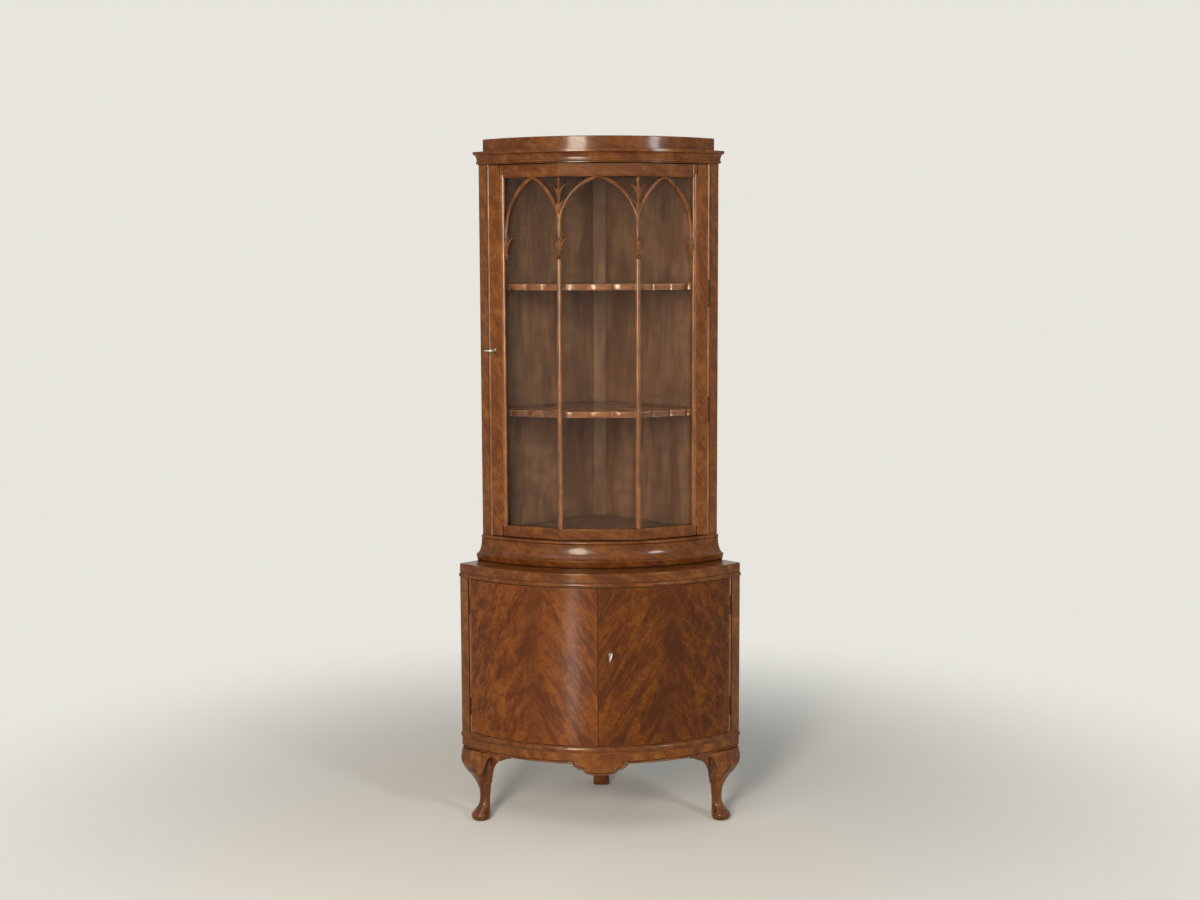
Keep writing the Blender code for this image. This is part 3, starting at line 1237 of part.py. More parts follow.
RIGHT_DOOR = base_door("right", 1, RIGHT_AXIS)
LEFT_DOOR = base_door("left", -1, LEFT_AXIS)
for side_word, side_sign, door_axis in (("left", -1, LEFT_AXIS), ("right", 1, RIGHT_AXIS)):
    for level, z_hinge in zip(("lower", "upper"), BASE_HINGES):
        hinge(f"base_{side_word}_{level}_hinge", BASE_JAMB, side_sign, z_hinge, BASE_BARREL_LENGTH, door_axis)
for level, z_hinge in zip(("lower", "upper"), UPPER_HINGES):
    hinge(f"display_{level}_hinge", UPPER_JAMB, 1, z_hinge, UPPER_BARREL_LENGTH, DISPLAY_AXIS)

KEY_ANGLE = x_angle(BASE_R, BASE_KEY_X)
BASE_LOCK = LockPlace((BASE_R * sin(KEY_ANGLE), BASE_CY - BASE_R * cos(KEY_ANGLE)),
                      (-cos(KEY_ANGLE), -sin(KEY_ANGLE)), (sin(KEY_ANGLE), -cos(KEY_ANGLE)), BASE_KEY_HEIGHT)
lock("base_lock", "base_key", BASE_LOCK, BASE_KEY_TILT, RIGHT_AXIS, RIGHT_DOOR, BASE_CASE_FACE,
     BASE_DOOR_THICKNESS - GAP, BASE_CASE_SPAN, BASE_BOLT_TIP, LEFT_DOOR)
KEY_X, KEY_Y = facet_point(FACET_LENGTH - DISPLAY_KEY_INSET, 0)
DISPLAY_LOCK = LockPlace((-KEY_X, KEY_Y), (-cos(FACET_ANGLE), sin(FACET_ANGLE)),
                         (-sin(FACET_ANGLE), -cos(FACET_ANGLE)), DISPLAY_KEY_HEIGHT)
lock("display_lock", "display_key", DISPLAY_LOCK, 0.0, DISPLAY_AXIS, bpy.data.objects["display_door_left_stile"],
     DISPLAY_CASE_FACE, FRAME_THICKNESS - GAP, DISPLAY_CASE_SPAN, DISPLAY_BOLT_TIP,
     bpy.data.objects["upper_left_stile"])

FLOOR_TOP = Z_LOWER_RAIL_TOP + BASE_BOTTOM_RISE
slide_bolt("bottom", -1, FLOOR_TOP + SLIDE_CLEARANCE, Z_BASE_DOOR + SLIDE_CASE_INSET, "base_bottom",
           (FLOOR_TOP + 0.01, FLOOR_TOP + SLIDE_CLEARANCE - SLIDE_THROW - 2 * SLIDE_CLEARANCE))
slide_bolt("top", 1, Z_TOP_RAIL - SLIDE_CLEARANCE, Z_BASE_DOOR_TOP - SLIDE_CASE_INSET, "base_top_rail",
           (Z_TOP_RAIL - 0.01, Z_BASE_TOP + 0.001))

FRONT_REACH = BASE_LOCK.origin[1] - (KEY_BOW_CENTRE + KEY_BOW_LENGTH / 2) * cos(KEY_ANGLE)
ROOT.location = (0, -(REAR_Y + FRONT_REACH) / 2, 0)
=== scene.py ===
"""Looks of the bow-fronted corner cabinet: its finished pieces, materials, lights and camera.

Metres, +Z up. Plan shapes are worked out with the back boards on the two 45 degree wall planes
|x| + y = WALL and the bowed front towards -Y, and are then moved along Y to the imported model.
"""
import json
from functools import partial
from math import asin, atan2, cos, pi, radians, sin, sqrt, tan

import bmesh
import bpy
import numpy as np
from mathutils import Matrix, Vector


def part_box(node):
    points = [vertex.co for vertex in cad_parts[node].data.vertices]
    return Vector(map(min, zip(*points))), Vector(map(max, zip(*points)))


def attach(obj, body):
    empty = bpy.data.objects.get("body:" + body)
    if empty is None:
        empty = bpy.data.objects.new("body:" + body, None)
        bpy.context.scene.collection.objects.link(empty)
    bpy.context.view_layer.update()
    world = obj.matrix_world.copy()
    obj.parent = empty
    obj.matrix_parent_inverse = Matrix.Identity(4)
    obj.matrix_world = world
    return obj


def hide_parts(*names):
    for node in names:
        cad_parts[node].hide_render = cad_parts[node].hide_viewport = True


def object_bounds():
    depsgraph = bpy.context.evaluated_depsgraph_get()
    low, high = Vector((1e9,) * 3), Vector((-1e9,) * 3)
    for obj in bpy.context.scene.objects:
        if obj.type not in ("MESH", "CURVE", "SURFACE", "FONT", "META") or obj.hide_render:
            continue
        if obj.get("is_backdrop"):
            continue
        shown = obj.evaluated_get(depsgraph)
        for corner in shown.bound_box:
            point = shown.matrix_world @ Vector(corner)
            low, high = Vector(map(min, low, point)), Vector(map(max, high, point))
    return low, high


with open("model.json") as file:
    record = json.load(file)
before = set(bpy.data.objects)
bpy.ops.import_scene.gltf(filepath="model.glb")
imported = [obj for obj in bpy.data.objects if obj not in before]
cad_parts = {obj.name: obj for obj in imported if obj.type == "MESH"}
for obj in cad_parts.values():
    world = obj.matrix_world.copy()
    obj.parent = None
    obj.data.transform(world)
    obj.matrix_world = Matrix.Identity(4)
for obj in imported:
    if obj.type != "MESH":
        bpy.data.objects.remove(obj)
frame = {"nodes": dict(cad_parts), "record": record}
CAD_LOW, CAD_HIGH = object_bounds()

# Plan of the cabinet: R and CY are the radius and centre of each stage's bow
GAP = 0.0003
WALL = 0.368
BOARD = 0.014
BASE_R = 0.512051
BASE_CY = 0.356051
BASE_HALF_WIDTH = 0.368
UPPER_R = 0.457398
UPPER_CY = 0.392398
UPPER_HALF_WIDTH = 0.311
REAR_Y = 0.341
STILE_DEPTH = 0.022
SIDES = (("left", -1), ("right", 1))

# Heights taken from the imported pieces
Z = {name: (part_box(name)[0][2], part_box(name)[1][2]) for name in frame["nodes"]}
PLAN_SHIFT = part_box("base_rear_board")[1][1] - REAR_Y


def spaced(start, stop, count):
    """Evenly spaced numbers from start to stop."""
    return np.linspace(start, stop, count)


def around(count):
    """Angles once round a circle."""
    return spaced(0, 2 * pi, count + 1)[:-1]


def unit(rows):
    """Rows of vectors, each made one long."""
    return rows / np.linalg.norm(rows, axis=1)[:, None]


def joined(*rows):
    """Several runs of (a, b) points as one array."""
    return np.concatenate([np.asarray(row, float).reshape(-1, 2) for row in rows])


def arc(centre, reach, start, stop, count):
    """Points of an ellipse's arc: centre + reach * (cos a, sin a), for a from start to stop in degrees."""
    a = np.radians(spaced(start, stop, count))
    return np.stack([centre[0] + reach[0] * np.cos(a), centre[1] + reach[1] * np.sin(a)], 1)


def raised(plan, height):
    """Plan points with one height, or a height each."""
    height = np.broadcast_to(np.asarray(height, float), plan.shape[:-1])
    return np.concatenate([plan, height[..., None]], -1)


def wall_angle(radius, centre_y, inset=0.0):
    """The angle at which a plan circle meets a wall plane: asin(reach / (r sqrt 2)) + 45 degrees."""
    reach = WALL - inset * sqrt(2) - centre_y
    return np.arcsin(reach / (np.asarray(radius) * sqrt(2))) + pi / 4


def on_arc(radius, centre_y, angles):
    """Plan points of a circle: x = r sin a, y = c - r cos a."""
    return np.stack([radius * np.sin(angles), centre_y - radius * np.cos(angles)], -1)


def wall_point(half_width, along, inward):
    """A plan point: along the right wall plane from the front corner, then square off it."""
    return (half_width - (along + inward) / sqrt(2), WALL - half_width + (along - inward) / sqrt(2))


def solid_mesh(name, shells, sharp):
    """One mesh of several closed shells, with edges sharper than an angle in degrees left hard.

    A shell is an array (stations, points, 3): each station is a closed loop of points, neighbouring
    stations are joined by quads, and flat faces close the first and last loop. A shell given as
    (array, "loop") is closed on itself along its stations instead.
    """
    verts, faces, first = [], [], 0
    for shell in shells:
        loop = isinstance(shell, tuple)
        rings = np.asarray(shell[0] if loop else shell, float)
        stations, count = rings.shape[:2]
        index = np.arange(stations * count).reshape(stations, count) + first
        below = index if loop else index[:-1]
        above = np.roll(index, -1, 0) if loop else index[1:]
        quads = np.stack([below, np.roll(below, -1, 1), np.roll(above, -1, 1), above], -1)
        faces += quads.reshape(-1, 4).tolist()
        if not loop:
            faces += [index[0, ::-1].tolist(), index[-1].tolist()]
        verts.append(rings.reshape(-1, 3))
        first += stations * count
    spots = np.concatenate(verts) + (0, PLAN_SHIFT, 0)
    data = bpy.data.meshes.new(name)
    data.from_pydata(spots.tolist(), [], faces)
    work = bmesh.new()
    work.from_mesh(data)
    bmesh.ops.remove_doubles(work, verts=work.verts, dist=2e-6)
    bmesh.ops.recalc_face_normals(work, faces=work.faces)
    work.to_mesh(data)
    work.free()
    data.shade_smooth()
    data.set_sharp_from_angle(angle=radians(sharp))
    return data


def place(name, shells, look, replaced=(), body="cabinet", sharp=35.0):
    """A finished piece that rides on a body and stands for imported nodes."""
    data = solid_mesh(name, shells, sharp)
    made = bpy.data.objects.new(name, data)
    bpy.context.scene.collection.objects.link(made)
    data.materials.append(look)
    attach(made, body)
    if replaced:
        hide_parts(*replaced)
    flatter = made.modifiers.new("flat faces shade flat", "WEIGHTED_NORMAL")
    flatter.keep_sharp = True
    return made


def ring(profile, radius, centre_y):
    """A moulding bent round the bow: each profile point (d, z) runs on the circle r + d.

    Station t, from -1 to 1, lies at the angle t * end(r + d), so both ends lie in the wall planes.
    """
    radii = radius + profile[:, 0]
    angles = spaced(-1, 1, 97)[:, None] * wall_angle(radii, centre_y)[None, :]
    return raised(on_arc(radii, centre_y, angles), profile[:, 1])


def stack(outlines, heights):
    """A shell of plan outlines, one at each height."""
    return np.array([raised(outline, height) for outline, height in zip(outlines, heights)])


def upright(outline, low, high):
    """A plan outline raised from low to high."""
    return stack([outline, outline], (low, high))


def slab(radius, centre_y, inset):
    """A full-depth plan: the bowed front, the wall planes and the back corner, held off the walls."""
    end = wall_angle(radius, centre_y, inset)
    rear = REAR_Y - inset
    half = WALL - inset * sqrt(2) - rear
    return joined(on_arc(radius, centre_y, spaced(-end, end, 97)), [(half, rear), (-half, rear)])


def rounded_slab(radius, centre_y, low, high, nose, ease=0.0008):
    """A slab rounded at the front's top edge by nose: d = nose (1 - cos a), z = high - nose (1 - sin a).

    The lower edge is eased, and the sides draw in by a fifth as much as the front.
    """
    turn = np.radians(spaced(0, 90, 7))
    insets = np.concatenate([[ease, 0.0], nose * (1 - np.cos(turn))])
    heights = np.concatenate([[low, low + ease], high - nose * (1 - np.sin(turn))])
    return stack([slab(radius - d, centre_y, d * 0.2) for d in insets], heights)


def tube(path, radius, sides, up):
    """A rod along a path of 3-D points: a circle square to the path's tangent at each point."""
    tangent = unit(np.gradient(path, axis=0))
    side = unit(np.cross(tangent, up))
    top = np.cross(side, tangent)
    a = around(sides)[None, :, None]
    return path[:, None, :] + radius * (np.cos(a) * side[:, None, :] + np.sin(a) * top[:, None, :])


def turned(profile, angles):
    """A profile of (radius, height) points turned about an axis: across it, over it and along it."""
    profile = np.asarray(profile, float)
    across, over = profile[:, :1] * np.cos(angles), profile[:, :1] * np.sin(angles)
    return across, over, np.broadcast_to(profile[:, 1:], across.shape)


# Node groups and materials

def node_group(name, inputs, outputs):
    """An empty shader node group: named inputs with their values, and names of number outputs.

    A tuple is a colour and None a vector. The output named Color is a colour too.
    """
    made = bpy.data.node_groups.new(name, "ShaderNodeTree")
    for label, value in inputs.items():
        kind = "Vector" if value is None else "Color" if isinstance(value, tuple) else "Float"
        socket = made.interface.new_socket(label, in_out="INPUT", socket_type=f"NodeSocket{kind}")
        if value is not None:
            socket.default_value = value
    for label in outputs:
        kind = "Color" if label == "Color" else "Float"
        made.interface.new_socket(label, in_out="OUTPUT", socket_type=f"NodeSocket{kind}")
    enter = made.nodes.new("NodeGroupInput")
    leave = made.nodes.new("NodeGroupOutput")
    return made, enter.outputs, leave.inputs


class Bench:
    """Short ways to add nodes to a tree and to join them."""

    def __init__(self, tree):
        self.tree = tree

    def node(self, kind, feeds=None, **values):
        """A new node with its settings, and with its inputs fed by label or number."""
        made = self.tree.nodes.new(kind)
        for key, value in values.items():
            setattr(made, key, value)
        self.feed(made, feeds or {})
        return made

    def join(self, source, target):
        """Link a socket, or set a constant, on an input."""
        if isinstance(source, bpy.types.NodeSocket):
            self.tree.links.new(source, target)
        else:
            target.default_value = source

    def feed(self, made, feeds):
        """Link or set several inputs of a node."""
        for label, source in feeds.items():
            self.join(source, made.inputs[label])

    def spot(self):
        """The object's own coordinates."""
        return self.node("ShaderNodeTexCoord").outputs["Object"]

    def math(self, operation, a, b=0.0):
        return self.node("ShaderNodeMath", {0: a, 1: b}, operation=operation).outputs[0]

    def noise(self, vector, scale, detail=3.0, rough=0.55, bend=0.0):
        return self.node("ShaderNodeTexNoise", {"Vector": vector, "Scale": scale, "Detail": detail,
                                                "Roughness": rough, "Distortion": bend}).outputs["Fac"]

    def stretch(self, vector, scale, turn=(0, 0, 0), shift=(0, 0, 0)):
        return self.node("ShaderNodeMapping", {"Vector": vector, "Scale": scale, "Rotation": turn,
                                               "Location": shift}).outputs["Vector"]

    def fade(self, value, low, high, start=0.0, end=1.0):
        """A value moved from the span low..high to start..end, held at its ends."""
        feeds = {"Value": value, "From Min": low, "From Max": high, "To Min": start, "To Max": end}
        return self.node("ShaderNodeMapRange", feeds, interpolation_type="SMOOTHSTEP").outputs["Result"]

    def mix(self, share, a, b):
        return self.node("ShaderNodeMix", {0: share, 6: a, 7: b}, data_type="RGBA").outputs[2]


def colour(red, green, blue):
    """A colour with its alpha."""
    return (red, green, blue, 1.0)


def figured_wood_group():
    """Mahogany figure: fine streaks and broad flames along Z, short ribbons across them, and dark pores.

    The vector's Z runs with the grain. Streaks and flames are noise drawn out along Z, ribbons are
    noise drawn out across it, and pores are fine noise drawn out far along Z.
    """
    inputs = {"Vector": None, "Pale": colour(0.4, 0.15, 0.05), "Middle": colour(0.25, 0.08, 0.025),
              "Deep": colour(0.1, 0.03, 0.01), "Streak Scale": 110.0, "Ribbon Scale": 60.0, "Ribbon": 0.4,
              "Pores": 0.4}
    group, enter, leave = node_group("Mahogany Figure", inputs, ("Color", "Height", "Gloss"))
    bench = Bench(group)
    vector = enter["Vector"]
    streaks = bench.noise(bench.stretch(vector, (1.0, 1.0, 0.16)), enter["Streak Scale"], 4.0, 0.6, 0.5)
    flames = bench.noise(bench.stretch(vector, (1.0, 1.0, 0.26), shift=(1.7, 4.1, 2.2)),
                         bench.math("MULTIPLY", enter["Streak Scale"], 0.25), 3.0, 0.55, 0.6)
    ribbons = bench.noise(bench.stretch(vector, (0.5, 0.5, 1.2), shift=(3.1, 0.7, 1.3)),
                          enter["Ribbon Scale"], 2.0, 0.5, 0.6)
    pores = bench.noise(bench.stretch(vector, (1.0, 1.0, 0.035)), 1400.0, 2.0, 0.6)
    both = bench.math("ADD", bench.math("MULTIPLY", streaks, 0.42), bench.math("MULTIPLY", flames, 0.58))
    ground = bench.mix(bench.fade(both, 0.37, 0.58), enter["Deep"], enter["Middle"])
    shine = bench.math("MULTIPLY", bench.fade(both, 0.48, 0.66), bench.fade(ribbons, 0.35, 0.65, 0.35))
    ground = bench.mix(bench.math("MULTIPLY", shine, 0.85), ground, enter["Pale"])
    shade = bench.math("MULTIPLY", bench.fade(ribbons, 0.55, 0.38), enter["Ribbon"])
    ground = bench.mix(shade, ground, enter["Deep"])
    dark = bench.math("MULTIPLY", bench.fade(pores, 0.56, 0.72), enter["Pores"])
    bench.join(bench.mix(dark, ground, enter["Deep"]), leave["Color"])
    bench.join(bench.math("SUBTRACT", 1.0, dark), leave["Height"])
    bench.join(bench.fade(both, 0.35, 0.65, 0.05, -0.03), leave["Gloss"])
    return group


def edge_wear_and_crevice_shade_group():
    """Where edges wear, and where crevices get painted shade.

    Edge grows as the cosine between the plain normal and one softened over the width falls below 1.
    Crevice grows as surfaces within the reach shut off the sky.
    """
    group, enter, leave = node_group("Edge Wear and Crevice Shade", {"Width": 0.0015, "Reach": 0.009}, ("Edge", "Crevice"))
    bench = Bench(group)
    soft = bench.node("ShaderNodeBevel", {"Radius": enter["Width"]}, samples=4)
    plain = bench.node("ShaderNodeNewGeometry")
    cosine = bench.node("ShaderNodeVectorMath", {0: soft.outputs["Normal"], 1: plain.outputs["Normal"]},
                        operation="DOT_PRODUCT")
    bench.join(bench.fade(cosine.outputs["Value"], 0.995, 0.86), leave["Edge"])
    hidden = bench.node("ShaderNodeAmbientOcclusion", {"Distance": enter["Reach"]}, samples=6)
    bench.join(bench.fade(hidden.outputs["AO"], 0.86, 0.42), leave["Crevice"])
    return group


FIGURE = figured_wood_group()
EDGE = edge_wear_and_crevice_shade_group()
# Near-black colour of the painted shade in crevices
PAINTED_CREVICE_SHADE = (0.022, 0.008, 0.003)
VENEER_SLANT = radians(32)


def material(name):
    """A new material with one Principled shader, and the bench for its nodes."""
    made = bpy.data.materials.new(name)
    made.use_nodes = True
    return made, Bench(made.node_tree), made.node_tree.nodes["Principled BSDF"]


def blended(made, bench, share, shader, other):
    """Show another shader in place of a material's own, by a share."""
    blend = bench.node("ShaderNodeMixShader", {0: share, 1: shader.outputs[0], 2: other.outputs[0]})
    bench.join(blend.outputs[0], made.node_tree.nodes["Material Output"].inputs["Surface"])


def mahogany(name, pale, middle, deep, turn=(0, 0, 0), streak=110.0, ribbon_scale=60.0, ribbon=0.4,
             rough=0.3, coat=0.32, coat_rough=0.12, seam=None, edge=0.25, edge_wear_and_glint=(0.46, 0.2, 0.07)):
    """Polished mahogany. With a seam, the figure is mirrored about that X and slants down away from it."""
    made, bench, shader = material(name)
    vector = bench.spot()
    if seam is not None:
        parts = bench.node("ShaderNodeSeparateXYZ", {0: vector})
        away = bench.math("ABSOLUTE", bench.math("SUBTRACT", parts.outputs[0], seam))
        again = bench.node("ShaderNodeCombineXYZ", {0: away, 1: parts.outputs[1], 2: parts.outputs[2]})
        vector, turn = again.outputs[0], (0, VENEER_SLANT, 0)
    wood = bench.node("ShaderNodeGroup", node_tree=FIGURE)
    bench.feed(wood, {"Vector": bench.stretch(vector, (1, 1, 1), turn), "Pale": colour(*pale),
                      "Middle": colour(*middle), "Deep": colour(*deep), "Streak Scale": streak,
                      "Ribbon Scale": ribbon_scale, "Ribbon": ribbon, "Pores": 0.4})
    figure = wood.outputs["Color"]
    if seam is not None:
        figure = bench.mix(bench.fade(away, 0.05, 0.0, 0.0, 0.5), figure, colour(*deep))
    # Edges are mixed toward a paler colour: real wear, and on the shelves and beads a painted glint.
    wear_and_shade = bench.node("ShaderNodeGroup", node_tree=EDGE)
    figure = bench.mix(bench.math("MULTIPLY", wear_and_shade.outputs["Edge"], edge), figure, colour(*edge_wear_and_glint))
    # Crevices that nearby surfaces shut off from the light are darkened: painted shade.
    painted_shade_share = bench.math("MULTIPLY", wear_and_shade.outputs["Crevice"], 0.85)
    bump = bench.node("ShaderNodeBump", {"Height": wood.outputs["Height"], "Strength": 0.12,
                                         "Distance": 0.0002})
    bench.feed(shader, {"Base Color": bench.mix(painted_shade_share, figure, colour(*PAINTED_CREVICE_SHADE)),
                        "Roughness": bench.math("ADD", wood.outputs["Gloss"], rough),
                        "Normal": bump.outputs["Normal"], "Coat Weight": coat, "Coat Roughness": coat_rough,
                        "Specular IOR Level": 0.14, "Specular Tint": colour(1.0, 0.8, 0.6)})
    return made


def metal(name, tone, rough, tarnish, dark):
    """Metal whose colour and roughness drift with patches of tarnish."""
    made, bench, shader = material(name)
    patches = bench.noise(bench.spot(), 180.0, 4.0, 0.6)
    share = bench.fade(patches, 0.35, 0.7, 0.0, tarnish)
    bench.feed(shader, {"Base Color": bench.mix(share, colour(*tone), colour(*dark)), "Metallic": 1.0,
                        "Roughness": bench.fade(patches, 0.3, 0.7, rough, rough + 0.22)})
    return made


def window_glass(name, tint=colour(0.93, 0.94, 0.92)):
    """Old flat glass, faintly green, that lets light fall straight through on to what is behind it."""
    made, bench, shader = material(name)
    vector = bench.spot()
    haze = bench.noise(bench.stretch(vector, (1, 1, 0.4)), 9.0)
    waves = bench.noise(bench.stretch(vector, (1, 1, 0.3)), 14.0, 1.0)
    ripple = bench.node("ShaderNodeBump", {"Height": waves, "Strength": 0.03, "Distance": 0.002})
    bench.feed(shader, {"Base Color": tint, "Transmission Weight": 1.0, "IOR": 1.22,
                        "Roughness": bench.fade(haze, 0.35, 0.75, 0.0, 0.02),
                        "Normal": ripple.outputs["Normal"]})
    shadow = bench.node("ShaderNodeLightPath").outputs["Is Shadow Ray"]
    blended(made, bench, shadow, shader, bench.node("ShaderNodeBsdfTransparent", {0: tint}))
    return made


# The finishes, in linear colour: each wood's pale, middle and deep tone
VENEERED = {"streak": 170.0, "ribbon_scale": 90.0, "ribbon": 0.3, "coat_rough": 0.2}
CARCASE = mahogany(
    "carcase mahogany", (0.202, 0.0739, 0.0118), (0.155, 0.0487, 0.0076), (0.086, 0.0227, 0.0034),
    turn=(0, radians(28), 0), streak=150.0)
CROSSWISE = mahogany(
    "moulded mahogany", (0.188, 0.0655, 0.0109), (0.136, 0.0413, 0.0070), (0.072, 0.0187, 0.0031),
    turn=(0, pi / 2 - 0.35, 0), streak=150.0)
CARVED = mahogany(
    "carved mahogany", (0.212, 0.0765, 0.0153), (0.136, 0.0442, 0.0085), (0.064, 0.0179, 0.0043),
    streak=160.0, ribbon_scale=90.0, ribbon=0.25, edge=0.5)
# Beads, stickings and glazing bars: paler tones than the rest of the mahogany, as painted highlight.
BEAD_MAHOGANY_PAINTED_HIGHLIGHT = mahogany(
    "bead mahogany with painted highlight", (0.27, 0.110, 0.034), (0.20, 0.075, 0.021), (0.11, 0.036, 0.010),
    streak=160.0, ribbon=0.3, coat=0.7, coat_rough=0.22, edge=0.4, edge_wear_and_glint=(0.50, 0.28, 0.15))
LEG_WOOD = mahogany(
    "leg mahogany", (0.22, 0.078, 0.015), (0.14, 0.042, 0.008), (0.060, 0.016, 0.004),
    ribbon=0.3, edge=0.35)
LEFT_VENEER = mahogany(
    "left door veneer", (0.185, 0.0588, 0.0076), (0.144, 0.0378, 0.0042), (0.060, 0.0140, 0.0022),
    seam=-0.172, coat=0.22, **VENEERED)
# The right door's tones are darker than the left door's: painted shade, with the light falling from the
# left.
SHADED_RIGHT_VENEER = mahogany(
    "right door veneer in painted shade", (0.148, 0.0520, 0.0030), (0.104, 0.0257, 0.0030), (0.045, 0.0115, 0.0020),
    seam=0.182, coat=0.14, **VENEERED)
# Inside wood: its own paler tone, greyed further by a painted reflection of the room in the glass.
INTERIOR_WITH_PAINTED_REFLECTION = mahogany(
    "interior mahogany greyed by painted reflection", (0.149, 0.0798, 0.0468), (0.110, 0.0539, 0.0288), (0.066, 0.0297, 0.0150),
    streak=70.0, ribbon_scale=30.0, ribbon=0.45, rough=0.45, coat=0.05, edge=0.1)
# Shelf edges are mixed far toward a near-white tone: a painted glint on the lobed fronts.
SHELF_MAHOGANY_PAINTED_GLINT = mahogany(
    "shelf mahogany with painted edge glint", (0.22, 0.075, 0.022), (0.12, 0.040, 0.012), (0.055, 0.018, 0.006),
    turn=(0, pi / 2, 0), rough=0.25, coat=0.5, edge=0.6, edge_wear_and_glint=(0.75, 0.42, 0.20))
GLASS = window_glass("cabinet glass")
DARK_BRASS = metal("dark escutcheon brass", (0.14, 0.085, 0.04), 0.34, 0.8, (0.035, 0.022, 0.014))
BRASS = metal("aged brass", (0.10, 0.052, 0.021), 0.46, 0.8, (0.032, 0.016, 0.008))
STEEL = metal("key steel", (0.62, 0.58, 0.52), 0.24, 0.5, (0.26, 0.22, 0.18))

SLOT_LOOKS = {"veneer": CARCASE, "solid_wood": CARCASE, "inside_wood": INTERIOR_WITH_PAINTED_REFLECTION, "glass": GLASS,
              "brass": BRASS, "steel": STEEL}
SLOTS = {part["node"]: part["material_slot"] for part in frame["record"]["subparts"]}


def dress_packed_nodes():
    """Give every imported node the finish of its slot, with the grain across on rails and the base shelf."""
    for name, node in frame["nodes"].items():
        node.data.materials.clear()
        node.data.materials.append(SLOT_LOOKS[SLOTS[name]])
    for name in ("display_door_top_rail", "display_door_bottom_rail", "base_top_rail", "base_shelf"):
        frame["nodes"][name].data.materials[0] = CROSSWISE


# Mouldings of the base. A rail's nose: how far it stands out, the flats above and below it, its back
NOSE_ROOT = 0.0002
TOP_RAIL_NOSE = (0.0033, 0.0011, -0.002)
LOWER_RAIL_NOSE = (0.004, 0.0022, -0.0187)
TOP_ROUND = 0.0035
# Keeps the lower rail's nose inside the cabinet's overall width
RAIL_SETBACK = 0.0005


def nose(low, high, proud, flat, back):
    """A rail's profile: a half ellipse proud of two small flats, in front of a plain back."""
    middle, half = (low + high) / 2, (high - low) / 2 - flat
    front = arc((NOSE_ROOT, middle), (proud, half), -90, 90, 15)
    return joined([(back, low), (NOSE_ROOT, low)], front, [(NOSE_ROOT, high), (back, high)])


def base_mouldings():
    """Top slab, top rail nose and lower rail."""
    top = rounded_slab(BASE_R, BASE_CY, Z["base_top"][0], Z["waist_moulding"][0] - GAP, TOP_ROUND)
    place("base_top_slab", [top], CROSSWISE, ["base_top"])
    profile = nose(*Z["base_top_rail"], *TOP_RAIL_NOSE)
    place("top_rail_nose", [ring(profile, BASE_R, BASE_CY)], CROSSWISE)
    profile = nose(*Z["base_lower_rail"], *LOWER_RAIL_NOSE) - (RAIL_SETBACK, 0)
    place("lower_rail", [ring(profile, BASE_R, BASE_CY)], CROSSWISE, ["base_lower_rail"])


# The apron: the centre drop's corners as half-width and depth, and its pieces' thicknesses
DROP_CORNERS = ((0.067, 0.0), (0.0393, 0.0165), (0.0205, 0.0282))
DROP_DEPTH = 0.0304
APRON_THICKNESS = 0.0225
APRON_BEAD = 0.0031
APRON_LOW = Z["rear_leg"][1] + GAP
# The panel's section from the front's top to the back's: inset, and lift above the edge (None at the top)
APRON_SECTION = ((0.0, None), (0.0, 0.0020), (0.0022, 0.0014), (0.0026, 0.0), (APRON_THICKNESS, 0.0),
                 (APRON_THICKNESS, None))
# How far the bead's axis lies under the panel's edge
BEAD_BELOW = APRON_BEAD - 0.0006


def drop_edge(offset):
    """The drop's right half from its end to the middle: elliptical quarters between its corners."""
    runs = []
    for (x0, d0), (x1, d1) in zip(DROP_CORNERS, DROP_CORNERS[1:]):
        runs.append(arc((x1 + offset, d0 + offset), (x0 - x1, d1 - d0), 0, 90, 9)[:-1])
    x_end, d_end = DROP_CORNERS[-1]
    return joined(*runs, arc((0, d_end + offset), (x_end + offset, DROP_DEPTH - d_end), 0, 90, 6))


def both_halves(half):
    """A right half of (x, depth) points that ends on the middle, and its mirror image after it."""
    return np.concatenate([half, (half * (-1, 1))[-2::-1]])


def apron():
    """The curved apron with its centre drop, and the bead under its edge."""
    top = Z["base_lower_rail"][0] - GAP
    end = float(wall_angle(BASE_R, BASE_CY))
    drop = drop_edge(0.0)
    straight = BASE_R * np.sin(spaced(end, asin(drop[0, 0] / BASE_R), 30))[:-1]
    line = both_halves(joined(np.stack([straight, 0 * straight], 1), drop))
    share = np.arcsin(np.clip(line[:, 0] / BASE_R, -1, 1)) / end
    columns = []
    for inset, lift in APRON_SECTION:
        radius = BASE_R - inset
        height = top if lift is None else APRON_LOW + lift - line[:, 1]
        columns.append(raised(on_arc(radius, BASE_CY, share * wall_angle(radius, BASE_CY)), height))
    place("apron_panel", [np.stack(columns, 1)], CARCASE, ["apron"])

    middle = BASE_R - APRON_BEAD / 2
    stop = float(wall_angle(middle, BASE_CY, APRON_BEAD * 1.5))
    drop = drop_edge(BEAD_BELOW)
    straight = middle * np.sin(spaced(stop, asin((drop[0, 0] + 0.002) / middle), 40))
    line = both_halves(joined(np.stack([straight, 0 * straight + BEAD_BELOW], 1), drop))
    depth = BASE_CY - np.sqrt(middle ** 2 - line[:, 0] ** 2)
    bead = tube(np.column_stack([line[:, 0], depth, APRON_LOW - line[:, 1]]), APRON_BEAD, 12, (0, 1, 0))
    place("apron_bead", [bead], CROSSWISE, ["apron"], sharp=60)


